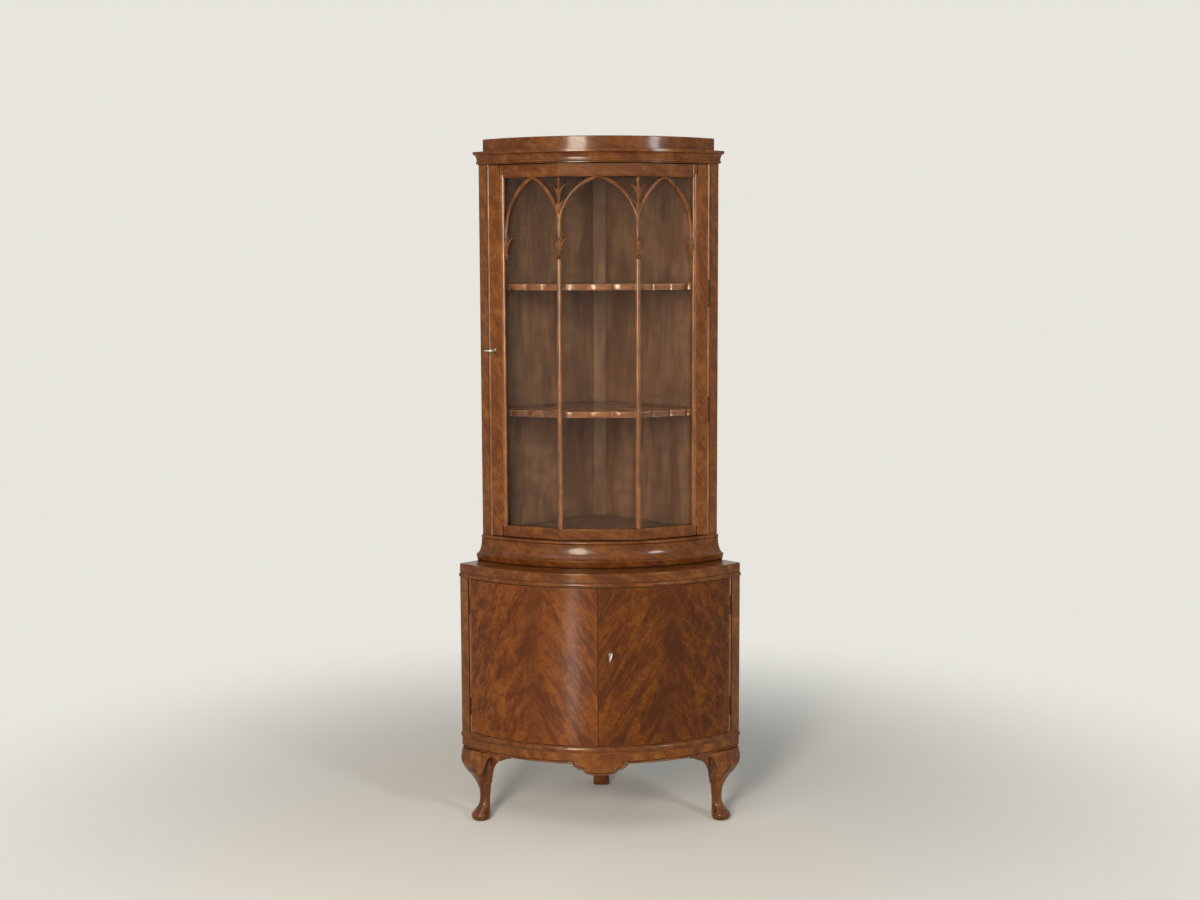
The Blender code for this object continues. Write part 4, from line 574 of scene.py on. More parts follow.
# Legs: height, reach outwards along the wall, half-width and squareness of each section
LEG_SECTIONS = np.array((
    (0.000, -0.0392, 0.0180, 2.0), (0.0015, -0.0390, 0.0208, 2.0), (0.004, -0.0388, 0.0232, 2.0),
    (0.008, -0.0385, 0.0249, 2.0), (0.012, -0.0383, 0.0253, 2.0), (0.0165, -0.0393, 0.0250, 2.0),
    (0.020, -0.0414, 0.0236, 2.0), (0.027, -0.0452, 0.0200, 2.0), (0.038, -0.0515, 0.0156, 2.0),
    (0.055, -0.0540, 0.0137, 2.0), (0.082, -0.0543, 0.0155, 2.1), (0.105, -0.0487, 0.0200, 2.3),
    (0.125, -0.0384, 0.0228, 2.6), (0.137, -0.0289, 0.0238, 3.0), (0.150, -0.0210, 0.0245, 3.5),
    (0.165, -0.0135, 0.0250, 4.0), (0.180, -0.0128, 0.0250, 5.0), (0.2022, -0.0170, 0.0245, 6.0)))
LEG_INWARD = 0.027
STUMP_HALF = 0.017
STUMP_LOW = 0.17
BACK_LEG = (0, 0.3125, 0.0225)

# The right knee bracket's edges as (x, height): the scroll on its face, and the web behind it
SCROLL_EDGE = np.array((
    (0.3340, 0.1520), (0.3220, 0.1420), (0.3130, 0.1430), (0.3070, 0.1590), (0.3025, 0.1720),
    (0.2990, 0.1815), (0.2940, 0.1890), (0.2860, 0.1925), (0.2780, 0.1910), (0.2713, 0.1875),
    (0.2648, 0.1850), (0.2600, 0.1885), (0.2567, 0.1950), (0.2328, 0.1968)))
WEB_EDGE = np.array((
    (0.3180, 0.1250), (0.3050, 0.1080), (0.2960, 0.1000), (0.2908, 0.1030), (0.2890, 0.1120),
    (0.2863, 0.1290), (0.2842, 0.1430), (0.2799, 0.1575), (0.2739, 0.1695), (0.2670, 0.1763),
    (0.2579, 0.1805), (0.2470, 0.1865), (0.2361, 0.1926), (0.2300, 0.1965)))
# Each layer's face behind the bow, its back, how much the back deepens towards the leg, and the face's lean
SCROLL_LAYER = (0.0015, 0.018, 0.01, 0.0)
WEB_LAYER = (0.0095, 0.0295, 0.030, 0.014)
# How far a bracket's face swells at the knee and falls back below it, and the spans over which it
# swells, falls back and its back deepens
KNEE_SWELL, KNEE_FALL = 0.009, 0.03
SWELL_SPAN, FALL_SPAN, DEEP_SPAN = (0.262, 0.322), (-0.150, -0.095), (0.255, 0.305)
EDGE_EASE, EDGE_THICKNESS = 0.001, 0.004
SKIN_VOXEL = 0.0013


def flowing(rows, parts):
    """A smooth curve through rows of numbers: Catmull-Rom cubics, each cut into parts."""
    rows = np.asarray(rows, float)
    padded = np.vstack([2 * rows[0] - rows[1], rows, 2 * rows[-1] - rows[-2]])
    t = spaced(0, 1, parts + 1)[:-1][:, None]
    runs = []
    for p0, p1, p2, p3 in zip(padded, padded[1:], padded[2:], padded[3:]):
        runs.append(0.5 * (2 * p1 + (p2 - p0) * t + (2 * p0 - 5 * p1 + 4 * p2 - p3) * t ** 2
                           + (3 * p1 - p0 - 3 * p2 + p3) * t ** 3))
    return np.vstack(runs + [rows[-1:]])


def squared(a, power):
    """A circle drawn out towards a square: |cos a| ^ power and |sin a| ^ power, with their signs."""
    return [np.abs(value) ** power * np.sign(value) for value in (np.cos(a), np.sin(a))]


def leg_shell(side):
    """A cabriole leg: super-ellipse sections, of power 2 / squareness, along a curved axis."""
    height, outward, half, square = flowing(LEG_SECTIONS, 5).T[:, :, None]
    along, across = squared(around(48)[None, :], 2 / square)
    x, y = wall_point(BASE_HALF_WIDTH, half * along - outward, LEG_INWARD + half * across)
    return raised(np.stack([side * x, y], -1), height)


def eased(value, low, high):
    """A smooth step: 0 below low, 1 above high, 3 t^2 - 2 t^3 between."""
    t = np.clip((value - low) / (high - low), 0, 1)
    return t * t * (3 - 2 * t)


def bracket_shell(line, side, sunk, back, deep, lean):
    """A bracket layer over a lower edge line: its face swells to the knee and falls back below it.

    The face lies on the bow, sunk behind it, and leans back from its top to its edge. The back lies
    parallel, and deepens towards the leg.
    """
    edge = flowing(line, 3)
    face = sunk - KNEE_SWELL * eased(edge[:, 0], *SWELL_SPAN)
    low = face + KNEE_FALL * eased(-edge[:, 1], *FALL_SPAN) + lean
    rear = back + deep * eased(edge[:, 0], *DEEP_SPAN)
    heel = np.maximum(rear, low + EDGE_THICKNESS)
    columns = []
    for inset, lift in ((face, None), (low, EDGE_EASE), (low + EDGE_EASE, 0.0), (heel, 0.0), (rear, None)):
        y = BASE_CY - np.sqrt((BASE_R - inset) ** 2 - edge[:, 0] ** 2)
        height = LEG_SECTIONS[-1, 0] if lift is None else edge[:, 1] + lift
        columns.append(raised(np.stack([side * edge[:, 0], y], 1), height))
    return np.stack(columns, 1)


def grown_together(piece):
    """Make a piece's overlapping shells one skin, and ease its inner corners."""
    skin = piece.modifiers.new("one skin", "REMESH")
    skin.mode = "VOXEL"
    skin.voxel_size = SKIN_VOXEL
    skin.use_smooth_shade = True
    soften = piece.modifiers.new("eased", "SMOOTH")
    soften.factor = 0.5
    soften.iterations = 5


def square_post(x, y, half, low, high, turn=0.0, ease=0.001):
    """A post of square plan with eased ends and corners."""
    corner = np.stack(squared(around(32), 0.25), 1)
    spin = np.array(((cos(turn), sin(turn)), (-sin(turn), cos(turn))))
    outlines = [(half - d) * corner @ spin + (x, y) for d in (ease, 0, 0, ease)]
    return stack(outlines, (low, low + ease, high - ease, high))


def legs():
    """Two cabriole legs with their brackets and stumps, and the square back leg."""
    inset = BOARD + 2 * GAP
    bend = (inset + 2 * STUMP_HALF) ** 2 / (2 * BASE_R)
    x, y = wall_point(BASE_HALF_WIDTH, APRON_THICKNESS + bend + 2 * GAP + STUMP_HALF, inset + STUMP_HALF)
    for word, side in SIDES:
        node = f"{word}_leg"
        shells = [leg_shell(side), bracket_shell(SCROLL_EDGE, side, *SCROLL_LAYER),
                  bracket_shell(WEB_EDGE, side, *WEB_LAYER)]
        leg = place(f"{word}_cabriole_leg", shells, LEG_WOOD, [node], sharp=50)
        grown_together(leg)
        stump = square_post(side * x, y, STUMP_HALF, STUMP_LOW, Z[node][1], pi / 4)
        place(f"{word}_leg_stump", [stump], LEG_WOOD, [node], sharp=50)
    place("back_leg", [square_post(*BACK_LEG, *Z["rear_leg"])], LEG_WOOD, ["rear_leg"], sharp=50)


# Stiles: each hinge axis as its X and how far it is set back from the bow, and the edges beside the bead
BASE_AXIS = (0.3395, 0.004)
UPPER_AXIS = (0.2845, 0.002)
BEAD_RADIUS = 0.004
QUIRK = 0.0012
QUIRK_DEPTH = 0.004
STILE_EDGE = 0.0015
DOOR_EDGE = 0.0045
RETURN_LENGTH = 0.0235

# The display lock's keep in the left upper stile: heights, reach past the key, depths behind the front
KEY_HEIGHT = 1.2558
KEEP_HEIGHTS = (KEY_HEIGHT + 0.0077, KEY_HEIGHT + 0.0163)
KEEP_START, KEEP_REACH = 0.0143, 0.0168
KEEP_FRONT, KEEP_BACK = 0.0131, 0.0181


class Jamb:
    """The plan frame at a hinge axis: w runs towards the stile and v outwards."""

    def __init__(self, radius, centre_y, axis_x, setback):
        self.radius, self.centre_y, self.setback = radius, centre_y, setback
        self.angle = asin(axis_x / (radius - setback))
        self.x = axis_x
        self.y = centre_y - (radius - setback) * cos(self.angle)

    def point(self, w, v):
        """Plan points of the right jamb."""
        w, v = np.asarray(w, float), np.asarray(v, float)
        return np.stack([self.x + w * cos(self.angle) + v * sin(self.angle),
                         self.y + w * sin(self.angle) - v * cos(self.angle)], -1)

    def across(self, spots):
        """Plan points of the right jamb as (w, v)."""
        x, y = np.asarray(spots, float).T - np.array(((self.x,), (self.y,)))
        return np.stack([x * cos(self.angle) + y * sin(self.angle),
                         x * sin(self.angle) - y * cos(self.angle)], -1)

    def face(self, half_width, mortise=()):
        """The stile's plan without its bead: quirk, bowed face, return along the wall and back.

        A mortise is four plan points that notch the edge beside the door, from back to front.
        """
        start = self.angle + (BEAD_RADIUS + QUIRK) / self.radius
        end = float(wall_angle(self.radius, self.centre_y))
        notch = [self.point(max(w, -STILE_EDGE), v) for w, v in (self.across(mortise) if mortise else ())]
        return joined([self.point(-STILE_EDGE, self.setback - STILE_DEPTH)], notch,
                      [self.point(-STILE_EDGE, -BEAD_RADIUS - 0.0008),
                       self.point(BEAD_RADIUS * 0.6, -QUIRK_DEPTH),
                       self.point(BEAD_RADIUS + QUIRK, -QUIRK_DEPTH)],
                      on_arc(self.radius, self.centre_y, spaced(start, end, 9)),
                      [wall_point(half_width, RETURN_LENGTH, 0),
                       wall_point(half_width, RETURN_LENGTH, BOARD),
                       wall_point(half_width, STILE_DEPTH, BOARD)])


BASE_JAMB = Jamb(BASE_R, BASE_CY, *BASE_AXIS)
UPPER_JAMB = Jamb(UPPER_R, UPPER_CY, *UPPER_AXIS)
# The hinged stiles: each node's jamb, side, door body and hinge names
HINGED = {"base_left_stile": (BASE_JAMB, -1, "base_left_door_leaf", "base_left"),
          "base_right_stile": (BASE_JAMB, 1, "base_right_door_leaf", "base_right"),
          "upper_right_stile": (UPPER_JAMB, 1, "display_door", "display")}


def hinge_names(stile):
    """The hinges on a stile, from the bottom up."""
    return [f"{HINGED[stile][-1]}_{level}_hinge" for level in ("lower", "upper") if stile in HINGED]


def keep_corners():
    """The display lock's keep in plan, as seen on the right, from its back edge to its front edge."""
    corners = []
    for shoot, depth in ((KEEP_START, KEEP_BACK), (KEEP_REACH, KEEP_BACK), (KEEP_REACH, KEEP_FRONT),
                         (KEEP_START, KEEP_FRONT)):
        x, y, _ = DISPLAY_LOCK.spot((shoot, -depth, 0.0))
        corners.append((-x, y))
    return corners


def stiles():
    """The four front stiles: bowed faces, and beads that stop at the hinges' knuckles."""
    for stage, jamb, half_width in (("base", BASE_JAMB, BASE_HALF_WIDTH),
                                    ("upper", UPPER_JAMB, UPPER_HALF_WIDTH)):
        for word, side in SIDES:
            node = f"{stage}_{word}_stile"
            low, high = Z[node]
            plain = jamb.face(half_width) * (side, 1)
            faces = [upright(plain, low, high)]
            if node == "upper_left_stile":
                bottom, top = KEEP_HEIGHTS
                notched = jamb.face(half_width, keep_corners()) * (side, 1)
                faces = [upright(plain, low, bottom), upright(notched, bottom, top),
                         upright(plain, top, high)]
            stops = [low, *(z for hinge in hinge_names(node) for z in Z[f"{hinge}_frame_leaf"]), high]
            a = around(24)
            circle = jamb.point(BEAD_RADIUS * np.cos(a), BEAD_RADIUS * np.sin(a)) * (side, 1)
            rods = [upright(circle, start + GAP, end - GAP) for start, end in zip(stops[::2], stops[1::2])]
            place(f"{node}_face", faces, CARCASE, [node])
            place(f"{node}_bead", rods, BEAD_MAHOGANY_PAINTED_HIGHLIGHT, [node])


# Waist, cornice and blocking: reaches in front of the upper bow, and heights over the piece's foot
FILLET = 0.001
WAIST_FOOT = 0.0186
WAIST_TOE, WAIST_REACH = 0.0180, 0.0215
COVE_REACH = 0.021
WAIST_COVE = (0.017, 0.038)
WAIST_BEAD = 0.004
EDGE_ROUND = 0.0015
CORNICE_ROOT = 0.006
CORNICE_BEAD, CORNICE_BEAD_RISE = 0.003, 0.0055
CORNICE_QUIRK, CORNICE_QUIRK_RISE = 0.002, 0.0025
# The cornice's cove starts so far over its foot and stops so far under its top
CORNICE_COVE = (0.0095, 0.0075)
CORNICE_REACH = 0.0185
BLOCKING_SETBACK = 0.0154


def waist():
    """Foot band, cove and bead under the display door."""
    low, high = Z["waist_moulding"]
    foot = low + WAIST_FOOT
    bead_low = foot + WAIST_COVE[1] + FILLET
    foot_edge = arc((WAIST_TOE, low + EDGE_ROUND), (EDGE_ROUND, EDGE_ROUND), -80, 0, 4)
    band = arc((WAIST_REACH, foot - EDGE_ROUND), (EDGE_ROUND, EDGE_ROUND), 0, 80, 5)
    cove = arc((COVE_REACH, bead_low), (-WAIST_COVE[0], -WAIST_COVE[1]), 90, 0, 16)
    bead = arc((FILLET, (bead_low + high) / 2), (WAIST_BEAD, (high - bead_low) / 2), -88, 88, 15)
    profile = joined([(-STILE_DEPTH, low)], foot_edge, band, cove, bead, [(0, high), (-STILE_DEPTH, high)])
    place("waist_mould", [ring(profile, UPPER_R, UPPER_CY)], CROSSWISE, ["waist_moulding"])


def cornice():
    """Quirk, bead, cove and top fillet, and the blocking over them."""
    low, high = Z["cornice"]
    bead = arc((CORNICE_ROOT, low + CORNICE_BEAD_RISE), (CORNICE_BEAD, CORNICE_BEAD), -90, 90, 13)
    start, end = low + CORNICE_COVE[0], high - CORNICE_COVE[1]
    cove = arc((CORNICE_REACH, start), (CORNICE_ROOT - CORNICE_REACH, end - start), 0, 90, 14)
    fillet = arc((CORNICE_REACH, high - FILLET), (FILLET, FILLET), 0, 90, 4)
    foot = [(-STILE_DEPTH, low), (CORNICE_QUIRK, low), (CORNICE_QUIRK, low + CORNICE_QUIRK_RISE)]
    profile = joined(foot, bead, [(CORNICE_ROOT, start)], cove, [(CORNICE_REACH + FILLET, end)], fillet,
                     [(-STILE_DEPTH, high)])
    place("cornice_mould", [ring(profile, UPPER_R, UPPER_CY)], CROSSWISE, ["cornice"])
    blocking = rounded_slab(UPPER_R - BLOCKING_SETBACK, UPPER_CY, *Z["attic_blocking"], 0.002)
    place("blocking_slab", [blocking], CROSSWISE, ["attic_blocking"])


# The display door's three facets: V1 is the right mullion's front in plan, V0 the right facet's outer end
MULLION_X = 0.1023
V1 = np.array((MULLION_X, UPPER_CY - sqrt(UPPER_R ** 2 - MULLION_X ** 2)))
V0 = UPPER_JAMB.point(-DOOR_EDGE, UPPER_AXIS[1])
FACET_LENGTH = float(np.linalg.norm(V0 - V1))
FACET_ANGLE = atan2(V0[1] - V1[1], V0[0] - V1[0])
MITRE = tan(FACET_ANGLE / 2)
DOOR_STILE = 0.043
STILE_LINE = FACET_LENGTH - DOOR_STILE
RECESS = 0.004
SHELF_SETBACK = 0.032
Z_PANE = Z["display_door_bottom_rail"][1]
Z_PANE_TOP = Z["display_door_top_rail"][0]


def from_mullion(angle, along, depth):
    """Plan points from the right mullion's front: along a line at an angle to X, and behind it."""
    along, depth = np.broadcast_arrays(np.asarray(along, float), np.asarray(depth, float))
    return np.stack([V1[0] + along * cos(angle) - depth * sin(angle),
                     V1[1] + along * sin(angle) + depth * cos(angle)], -1)


def facet_spot(side, along, depth, height):
    """3-D points on a facet: a side one (-1 or 1), along it from its mullion, or the middle one (0)."""
    if side:
        return raised(from_mullion(FACET_ANGLE, along, depth) * (side, 1), height)
    return raised(from_mullion(0.0, along, depth) - (V1[0], 0), height)


def mullion_spot(side, across, depth, height):
    """3-D points in the frame of a mullion: across it, behind its front, and up."""
    return raised(from_mullion(FACET_ANGLE / 2, across, depth) * (side, 1), height)


def facet_line(depth, end):
    """The three-facet line at each depth, mitred at the mullions, with side facets as long as end."""
    outer = from_mullion(FACET_ANGLE, end, depth)
    bend = np.stack([V1[0] - depth * MITRE, V1[1] + depth], -1)
    return np.array([outer * (-1, 1), bend * (-1, 1), bend, outer])


# The mouldings round the panes: widths beside the pane, and the spans and backs of the rails' own
STICKING = 0.0090
MARGIN = 0.0145
# The flat margins: how far they stand proud, sink past the recess, part from the sticking, and run on
# under and over the pane
MARGIN_PROUD, MARGIN_SUNK, MARGIN_GAP = 0.0002, 0.003, 0.0004
MARGIN_ENDS = (0.004, 0.008)
STICKING_BACK = RECESS + 0.0035
RAIL_STICKINGS = (("top", Z_PANE_TOP, 0.0085), ("bottom", Z_PANE, -0.0045))
RAIL_STICKING_BACK = RECESS / 2 + 0.003


def rounded_fall(depth):
    """t from 0 to 1 across a moulding, and its fall: depth (1 - sqrt(1 - t^2.2)), held 0.3 mm proud."""
    t = spaced(0, 1, 12)
    return t, depth * (1 - np.sqrt(np.clip(1 - t ** 2.2, 0, 1))) - 0.0003


def stickings():
    """The mouldings about the panes, set in the frame's sunk edges, with flat margins beside them."""
    outer, middle = STILE_LINE + MARGIN, STILE_LINE + STICKING
    sunk = RECESS + MARGIN_SUNK
    flat = joined([(outer, -MARGIN_PROUD), (middle + MARGIN_GAP, -MARGIN_PROUD), (middle, sunk),
                   (outer, sunk)])
    t, sink = rounded_fall(RECESS)
    section = joined(np.stack([middle - t * STICKING, sink], 1),
                     [(STILE_LINE, STICKING_BACK), (middle, STICKING_BACK)])
    for word, side in SIDES:
        for kind, rows, look in (("margin", flat, CARCASE), ("sticking", section, BEAD_MAHOGANY_PAINTED_HIGHLIGHT)):
            outline = from_mullion(FACET_ANGLE, *rows.T) * (side, 1)
            shell = upright(outline, Z_PANE - MARGIN_ENDS[0], Z_PANE_TOP + MARGIN_ENDS[1])
            place(f"display_{word}_{kind}", [shell], look, body="display_door", sharp=28)
    t, sink = rounded_fall(RECESS / 2)
    for word, low, span in RAIL_STICKINGS:
        section = joined(np.stack([sink, low + span * (1 - t)], 1),
                         [(RAIL_STICKING_BACK, low), (RAIL_STICKING_BACK, low + span)])
        shell = raised(facet_line(section[:, 0], STILE_LINE + 0.002), section[:, 1])
        place(f"display_{word}_sticking", [shell], CROSSWISE, body="display_door", sharp=24)


# A glazing bar's half-width and its web's, the fronts' roots and bulge, and the depths of their backs
GLAZING_BAR = 0.0063
WEB = 0.002
BAR_ROOT, BAR_BULGE = 0.0065, 0.0045
ARRIS_FRONT = 0.0105
BAR_BACK, WEB_BACK = 0.0107, 0.0185


def mullions():
    """Two half-round bars with webs behind them, and the thin webs that carry on behind the tracery."""
    web = [(WEB, BAR_BACK), (WEB, WEB_BACK), (-WEB, WEB_BACK), (-WEB, BAR_BACK)]
    bar = joined([(-GLAZING_BAR, BAR_BACK)], arc((0, BAR_ROOT), (GLAZING_BAR, -BAR_BULGE), 180, 0, 15),
                 [(GLAZING_BAR, BAR_BACK)], web)
    thin = joined([(-WEB, BAR_BACK)], arc((0, ARRIS_FRONT), (WEB, 0), 180, 0, 15), web[:3])
    for word, side in SIDES:
        low, high = Z[f"{word}_mullion"]
        shells = []
        for section, heights in ((bar, (low, Z_COLLAR)), (thin, (Z_COLLAR - 0.004, high))):
            shells.append([mullion_spot(side, *section.T, z) for z in heights])
        place(f"{word}_glazing_bar", shells, BEAD_MAHOGANY_PAINTED_HIGHLIGHT, [f"{word}_mullion"], "display_door", sharp=28)


# Arches, capitals and finials
ARCH_HALF = 0.0052
ARCH_LAP = 0.0025
ARCH_FRONT, ARCH_BULGE, ARCH_BACK = 0.0033, 0.0035, 0.0098
ORNAMENT_AXIS = 0.0085
ORNAMENT_BACK = 0.0095
LEAF_FRONT = 0.006
Z_SPRING = 1.563
Z_COLLAR = Z["tracery"][0]
Z_CAPITAL = 1.5445
APEX_RISE = Z_PANE_TOP - Z_SPRING + 0.002


def pointed_arch(start, stop):
    """The centre line of a pointed arch: two circles of radius (rise^2 + half^2) / (2 half)."""
    half = (stop - start) / 2
    radius = (APEX_RISE ** 2 + half ** 2) / (2 * half)
    a = spaced(0, atan2(APEX_RISE, radius - half), 25)
    left = np.stack([start + radius * (1 - np.cos(a)), Z_SPRING + radius * np.sin(a)], 1)
    return left, left * (-1, 1) + (start + stop, 0)


def limb_shell(line, side):
    """A half-round bar along a line of (along, z) points in a facet, its section square to the line."""
    front = arc((0, ARCH_FRONT + ARCH_BULGE), (ARCH_HALF, -ARCH_BULGE), 180, 0, 11)
    across, depth = joined([(-ARCH_HALF, ARCH_BACK)], front, [(ARCH_HALF, ARCH_BACK)]).T
    tangent = unit(np.gradient(line, axis=0))
    along = line[:, :1] + tangent[:, 1:] * across
    return facet_spot(side, along, depth, line[:, 1:] - tangent[:, :1] * across)


def half_round(profile, spot):
    """A turned ornament before the bar, a little flattened, and cut flat at the back."""
    across, over, height = turned(profile, np.radians(spaced(-20, 200, 19)))
    return spot(across, np.minimum(ORNAMENT_AXIS - 0.85 * over, ORNAMENT_BACK), height)


def leaf(spot, root, tip, width, lift, thick=0.0016):
    """A leaf that rises from root and curls outwards to its tip, both (across, z).

    As t runs from 0 to 1 the mid line goes outwards by t^2.2 and up by t^0.85, then droops near the
    tip. The front swells by lift, and the half-width is a narrowing sine arch.
    """
    t = spaced(0, 1, 13)[:, None]
    a = around(10)[None, :]
    half = width * np.clip(np.sin(pi * (0.06 + 0.92 * t)), 0, 1) ** 0.6 * (1 - 0.35 * t)
    swell = thick * np.clip(np.sin(pi * (0.08 + 0.9 * t)), 0, 1) ** 0.5
    across = root[0] + (tip[0] - root[0]) * t ** 2.2 + half * np.cos(a)
    front = LEAF_FRONT - lift * np.sin(pi * (0.15 + 0.75 * t))
    depth = front - swell * np.sin(a) + 0.35 * np.abs(np.cos(a)) * half
    height = root[1] + (tip[1] - root[1]) * t ** 0.85 - 0.0022 * t ** 8 + 0.15 * half * np.cos(a)
    return spot(across, depth, height)


def capital_shells(spot, sides=(-1, 1)):
    """Twin collar rings, a calyx, and leaves that flare at the springing of the arches."""
    z = Z_COLLAR
    collar = [(0.0040, z), (0.0066, z + 0.0003)]
    for low in (z + 0.0005, z + 0.0075):
        collar += [(0.0056 + 0.0036 * sin(pi * k / 6), low + 0.0060 * k / 6) for k in range(7)]
    calyx = [(0.0050, z + 0.0135), (0.0064, z + 0.017), (0.0068, z + 0.024), (0.0060, z + 0.033),
             (0.0052, z + 0.040), (0.0058, z + 0.047), (0.0060, z + 0.055), (0.0050, z + 0.066)]
    shaft = [(0.0050, Z_CAPITAL - 0.012), (0.0066, Z_CAPITAL - 0.002), (0.0070, Z_CAPITAL + 0.010),
             (0.0068, Z_SPRING + 0.004), (0.0060, Z_SPRING + 0.012), (0.0034, Z_SPRING + 0.020)]
    shells = [half_round(flowing(profile, 4), spot) for profile in (collar, calyx, shaft)]
    for side in sides:
        for (root, foot), (tip, top), width, lift, thick in (
                ((0.002, z + 0.010), (0.0235, Z_CAPITAL + 0.003), 0.0056, 0.0056, 0.0024),
                ((0.001, z + 0.016), (0.0125, Z_CAPITAL + 0.008), 0.0044, 0.0066, 0.0020)):
            shells.append(leaf(spot, (side * root, foot), (side * tip, top), width, lift, thick))
    shells.append(leaf(spot, (0.0, z + 0.012), (0.0001, Z_CAPITAL + 0.005), 0.0044, 0.0072, 0.0018))
    return shells


def finial_shells(spot):
    """The stem between two arches: a spindle, two leaf cups and a cone that meets the rail."""
    stem = [(0.0030, Z_SPRING - 0.004), (0.0026, 1.575), (0.0024, 1.590), (0.0030, 1.600),
            (0.0050, 1.6036), (0.0030, 1.607), (0.0044, 1.612), (0.0062, 1.621), (0.0060, 1.628),
            (0.0038, 1.636), (0.0030, 1.644), (0.0034, 1.652), (0.0054, 1.662), (0.0060, 1.668),
            (0.0040, 1.675), (0.0030, 1.679), (0.0046, 1.685), (0.0052, 1.690), (0.0036, Z_PANE_TOP)]
    shells = [half_round(flowing(stem, 3), spot)]
    for root, tip, reach, width in ((1.611, 1.641, 0.0185, 0.0046), (1.648, 1.680, 0.0215, 0.0050)):
        for side in (-1, 1):
            shells.append(leaf(spot, (side * 0.002, root), (side * reach, tip), width, 0.0036))
        shells.append(leaf(spot, (0.0, root + 0.002), (0.0001, tip - 0.003), width * 0.9, 0.0055))
    return shells


def stile_spot(side, across, depth, height):
    """3-D points in the frame of a door stile's inner edge, with nothing past the edge."""
    return facet_spot(side, STILE_LINE - 0.0002 + np.minimum(across, 0.0005), depth, height)


def tracery():
    """Three pointed arches with their capitals, half capitals and finials."""
    shells = []
    edge = STILE_LINE + ARCH_LAP - ARCH_HALF
    for start, stop, side in ((-V1[0], V1[0], 0), (0.0, edge, 1), (0.0, edge, -1)):
        shells += [limb_shell(line, side) for line in pointed_arch(start, stop)]
    place("tracery_arches", shells, CARVED, ["tracery"], "display_door", sharp=45)
    for word, side in SIDES:
        at_mullion, at_stile = partial(mullion_spot, side), partial(stile_spot, side)
        shells = capital_shells(at_mullion) + finial_shells(at_mullion) + capital_shells(at_stile, (-1,))
        place(f"{word}_carved_leaves", shells, CARVED, ["tracery"], "display_door", sharp=50)


# Shelves: the lobes' pitch and depth, and the eased edge
LOBE_PITCH = 0.055
LOBE_DEPTH = 0.007
LOBE_POINTS = 12
SHELF_EASE, SHELF_EASE_HEIGHT = 0.0012, 0.0015


def shelves():
    """Two shelves with shallow lobes along the front: the edge falls back by depth (1 - |sin|^0.5)."""
    inset = BOARD + GAP
    x, y = from_mullion(FACET_ANGLE, 0.0, SHELF_SETBACK)
    end = (WALL - inset * sqrt(2) - x - y) / (cos(FACET_ANGLE) + sin(FACET_ANGLE))
    line = facet_line(SHELF_SETBACK, end)
    runs = []
    for start, stop in zip(line, line[1:]):
        along = stop - start
        length = float(np.linalg.norm(along))
        lobes = max(1, round(length / LOBE_PITCH))
        t = spaced(0, 1, lobes * LOBE_POINTS + 1)
        inward = np.array((-along[1], along[0])) / length
        fall = LOBE_DEPTH * (1 - np.abs(np.sin(pi * lobes * t)) ** 0.5)
        runs.append(start + along * t[:, None] + inward * fall[:, None])
    front = joined(*runs)
    front[0], front[-1] = line[0], line[-1]
    rear = REAR_Y - inset
    half = WALL - inset * sqrt(2) - rear
    outline = joined(front, [(half, rear), (-half, rear)])
    toward = unit(outline.mean(0) - outline)
    outlines = [outline + toward * ease for ease in (SHELF_EASE, 0.0, 0.0, SHELF_EASE)]
    for name in ("lower_shelf", "upper_shelf"):
        low, high = Z[name]
        shell = stack(outlines, (low, low + SHELF_EASE_HEIGHT, high - SHELF_EASE_HEIGHT, high))
        place(f"scalloped_{name}", [shell], SHELF_MAHOGANY_PAINTED_GLINT, [name], sharp=40)


class LockPlace:
    """A lock's frame: x the way the bolt shoots, y out of the door's front, z up."""

    def __init__(self, origin, shoot, outward):
        self.origin = np.asarray(origin, float)
        self.axes = np.array(((*shoot, 0), (*outward, 0), (0, 0, 1)))

    def spot(self, shell):
        """Points of the lock's frame as places in the cabinet."""
        return self.origin + np.asarray(shell, float) @ self.axes


# The base key's X and height, and the display key's distance from its facet's outer end
KEY_X, KEY_Z, KEY_INSET = 0.026, 0.489, 0.0138
KEY_ANGLE = asin(KEY_X / BASE_R)
BASE_LOCK = LockPlace((BASE_R * sin(KEY_ANGLE), BASE_CY - BASE_R * cos(KEY_ANGLE), KEY_Z),
                      (-cos(KEY_ANGLE), -sin(KEY_ANGLE)), (sin(KEY_ANGLE), -cos(KEY_ANGLE)))
KEY_SPOT = from_mullion(FACET_ANGLE, FACET_LENGTH - KEY_INSET, 0.0)
DISPLAY_LOCK = LockPlace((-KEY_SPOT[0], KEY_SPOT[1], KEY_HEIGHT), (-cos(FACET_ANGLE), sin(FACET_ANGLE)),
                         (-sin(FACET_ANGLE), -cos(FACET_ANGLE)))
# The bow's centre line and wire, the bit's half-thickness, width and drop, and the plate's half-sizes
BOW_OUT = 0.033
BOW_REACH = (0.0119, 0.0079)
BOW_WIRE = 0.0021
BIT_HALF, BIT_WIDTH, BIT_DROP = 0.0009, 0.0029, 0.0070
PLATE_HALF = (0.0052, 0.0092)
PLATE_DROP = 0.0025
# The plate's section: share of its half-sizes, and distance out of the door's front
PLATE_SECTION = ((1.0, -0.0006), (1.0, 0.0006), (0.93, 0.0010), (0.55, 0.0011), (0.45, 0.0004),
                 (0.45, -0.0006))


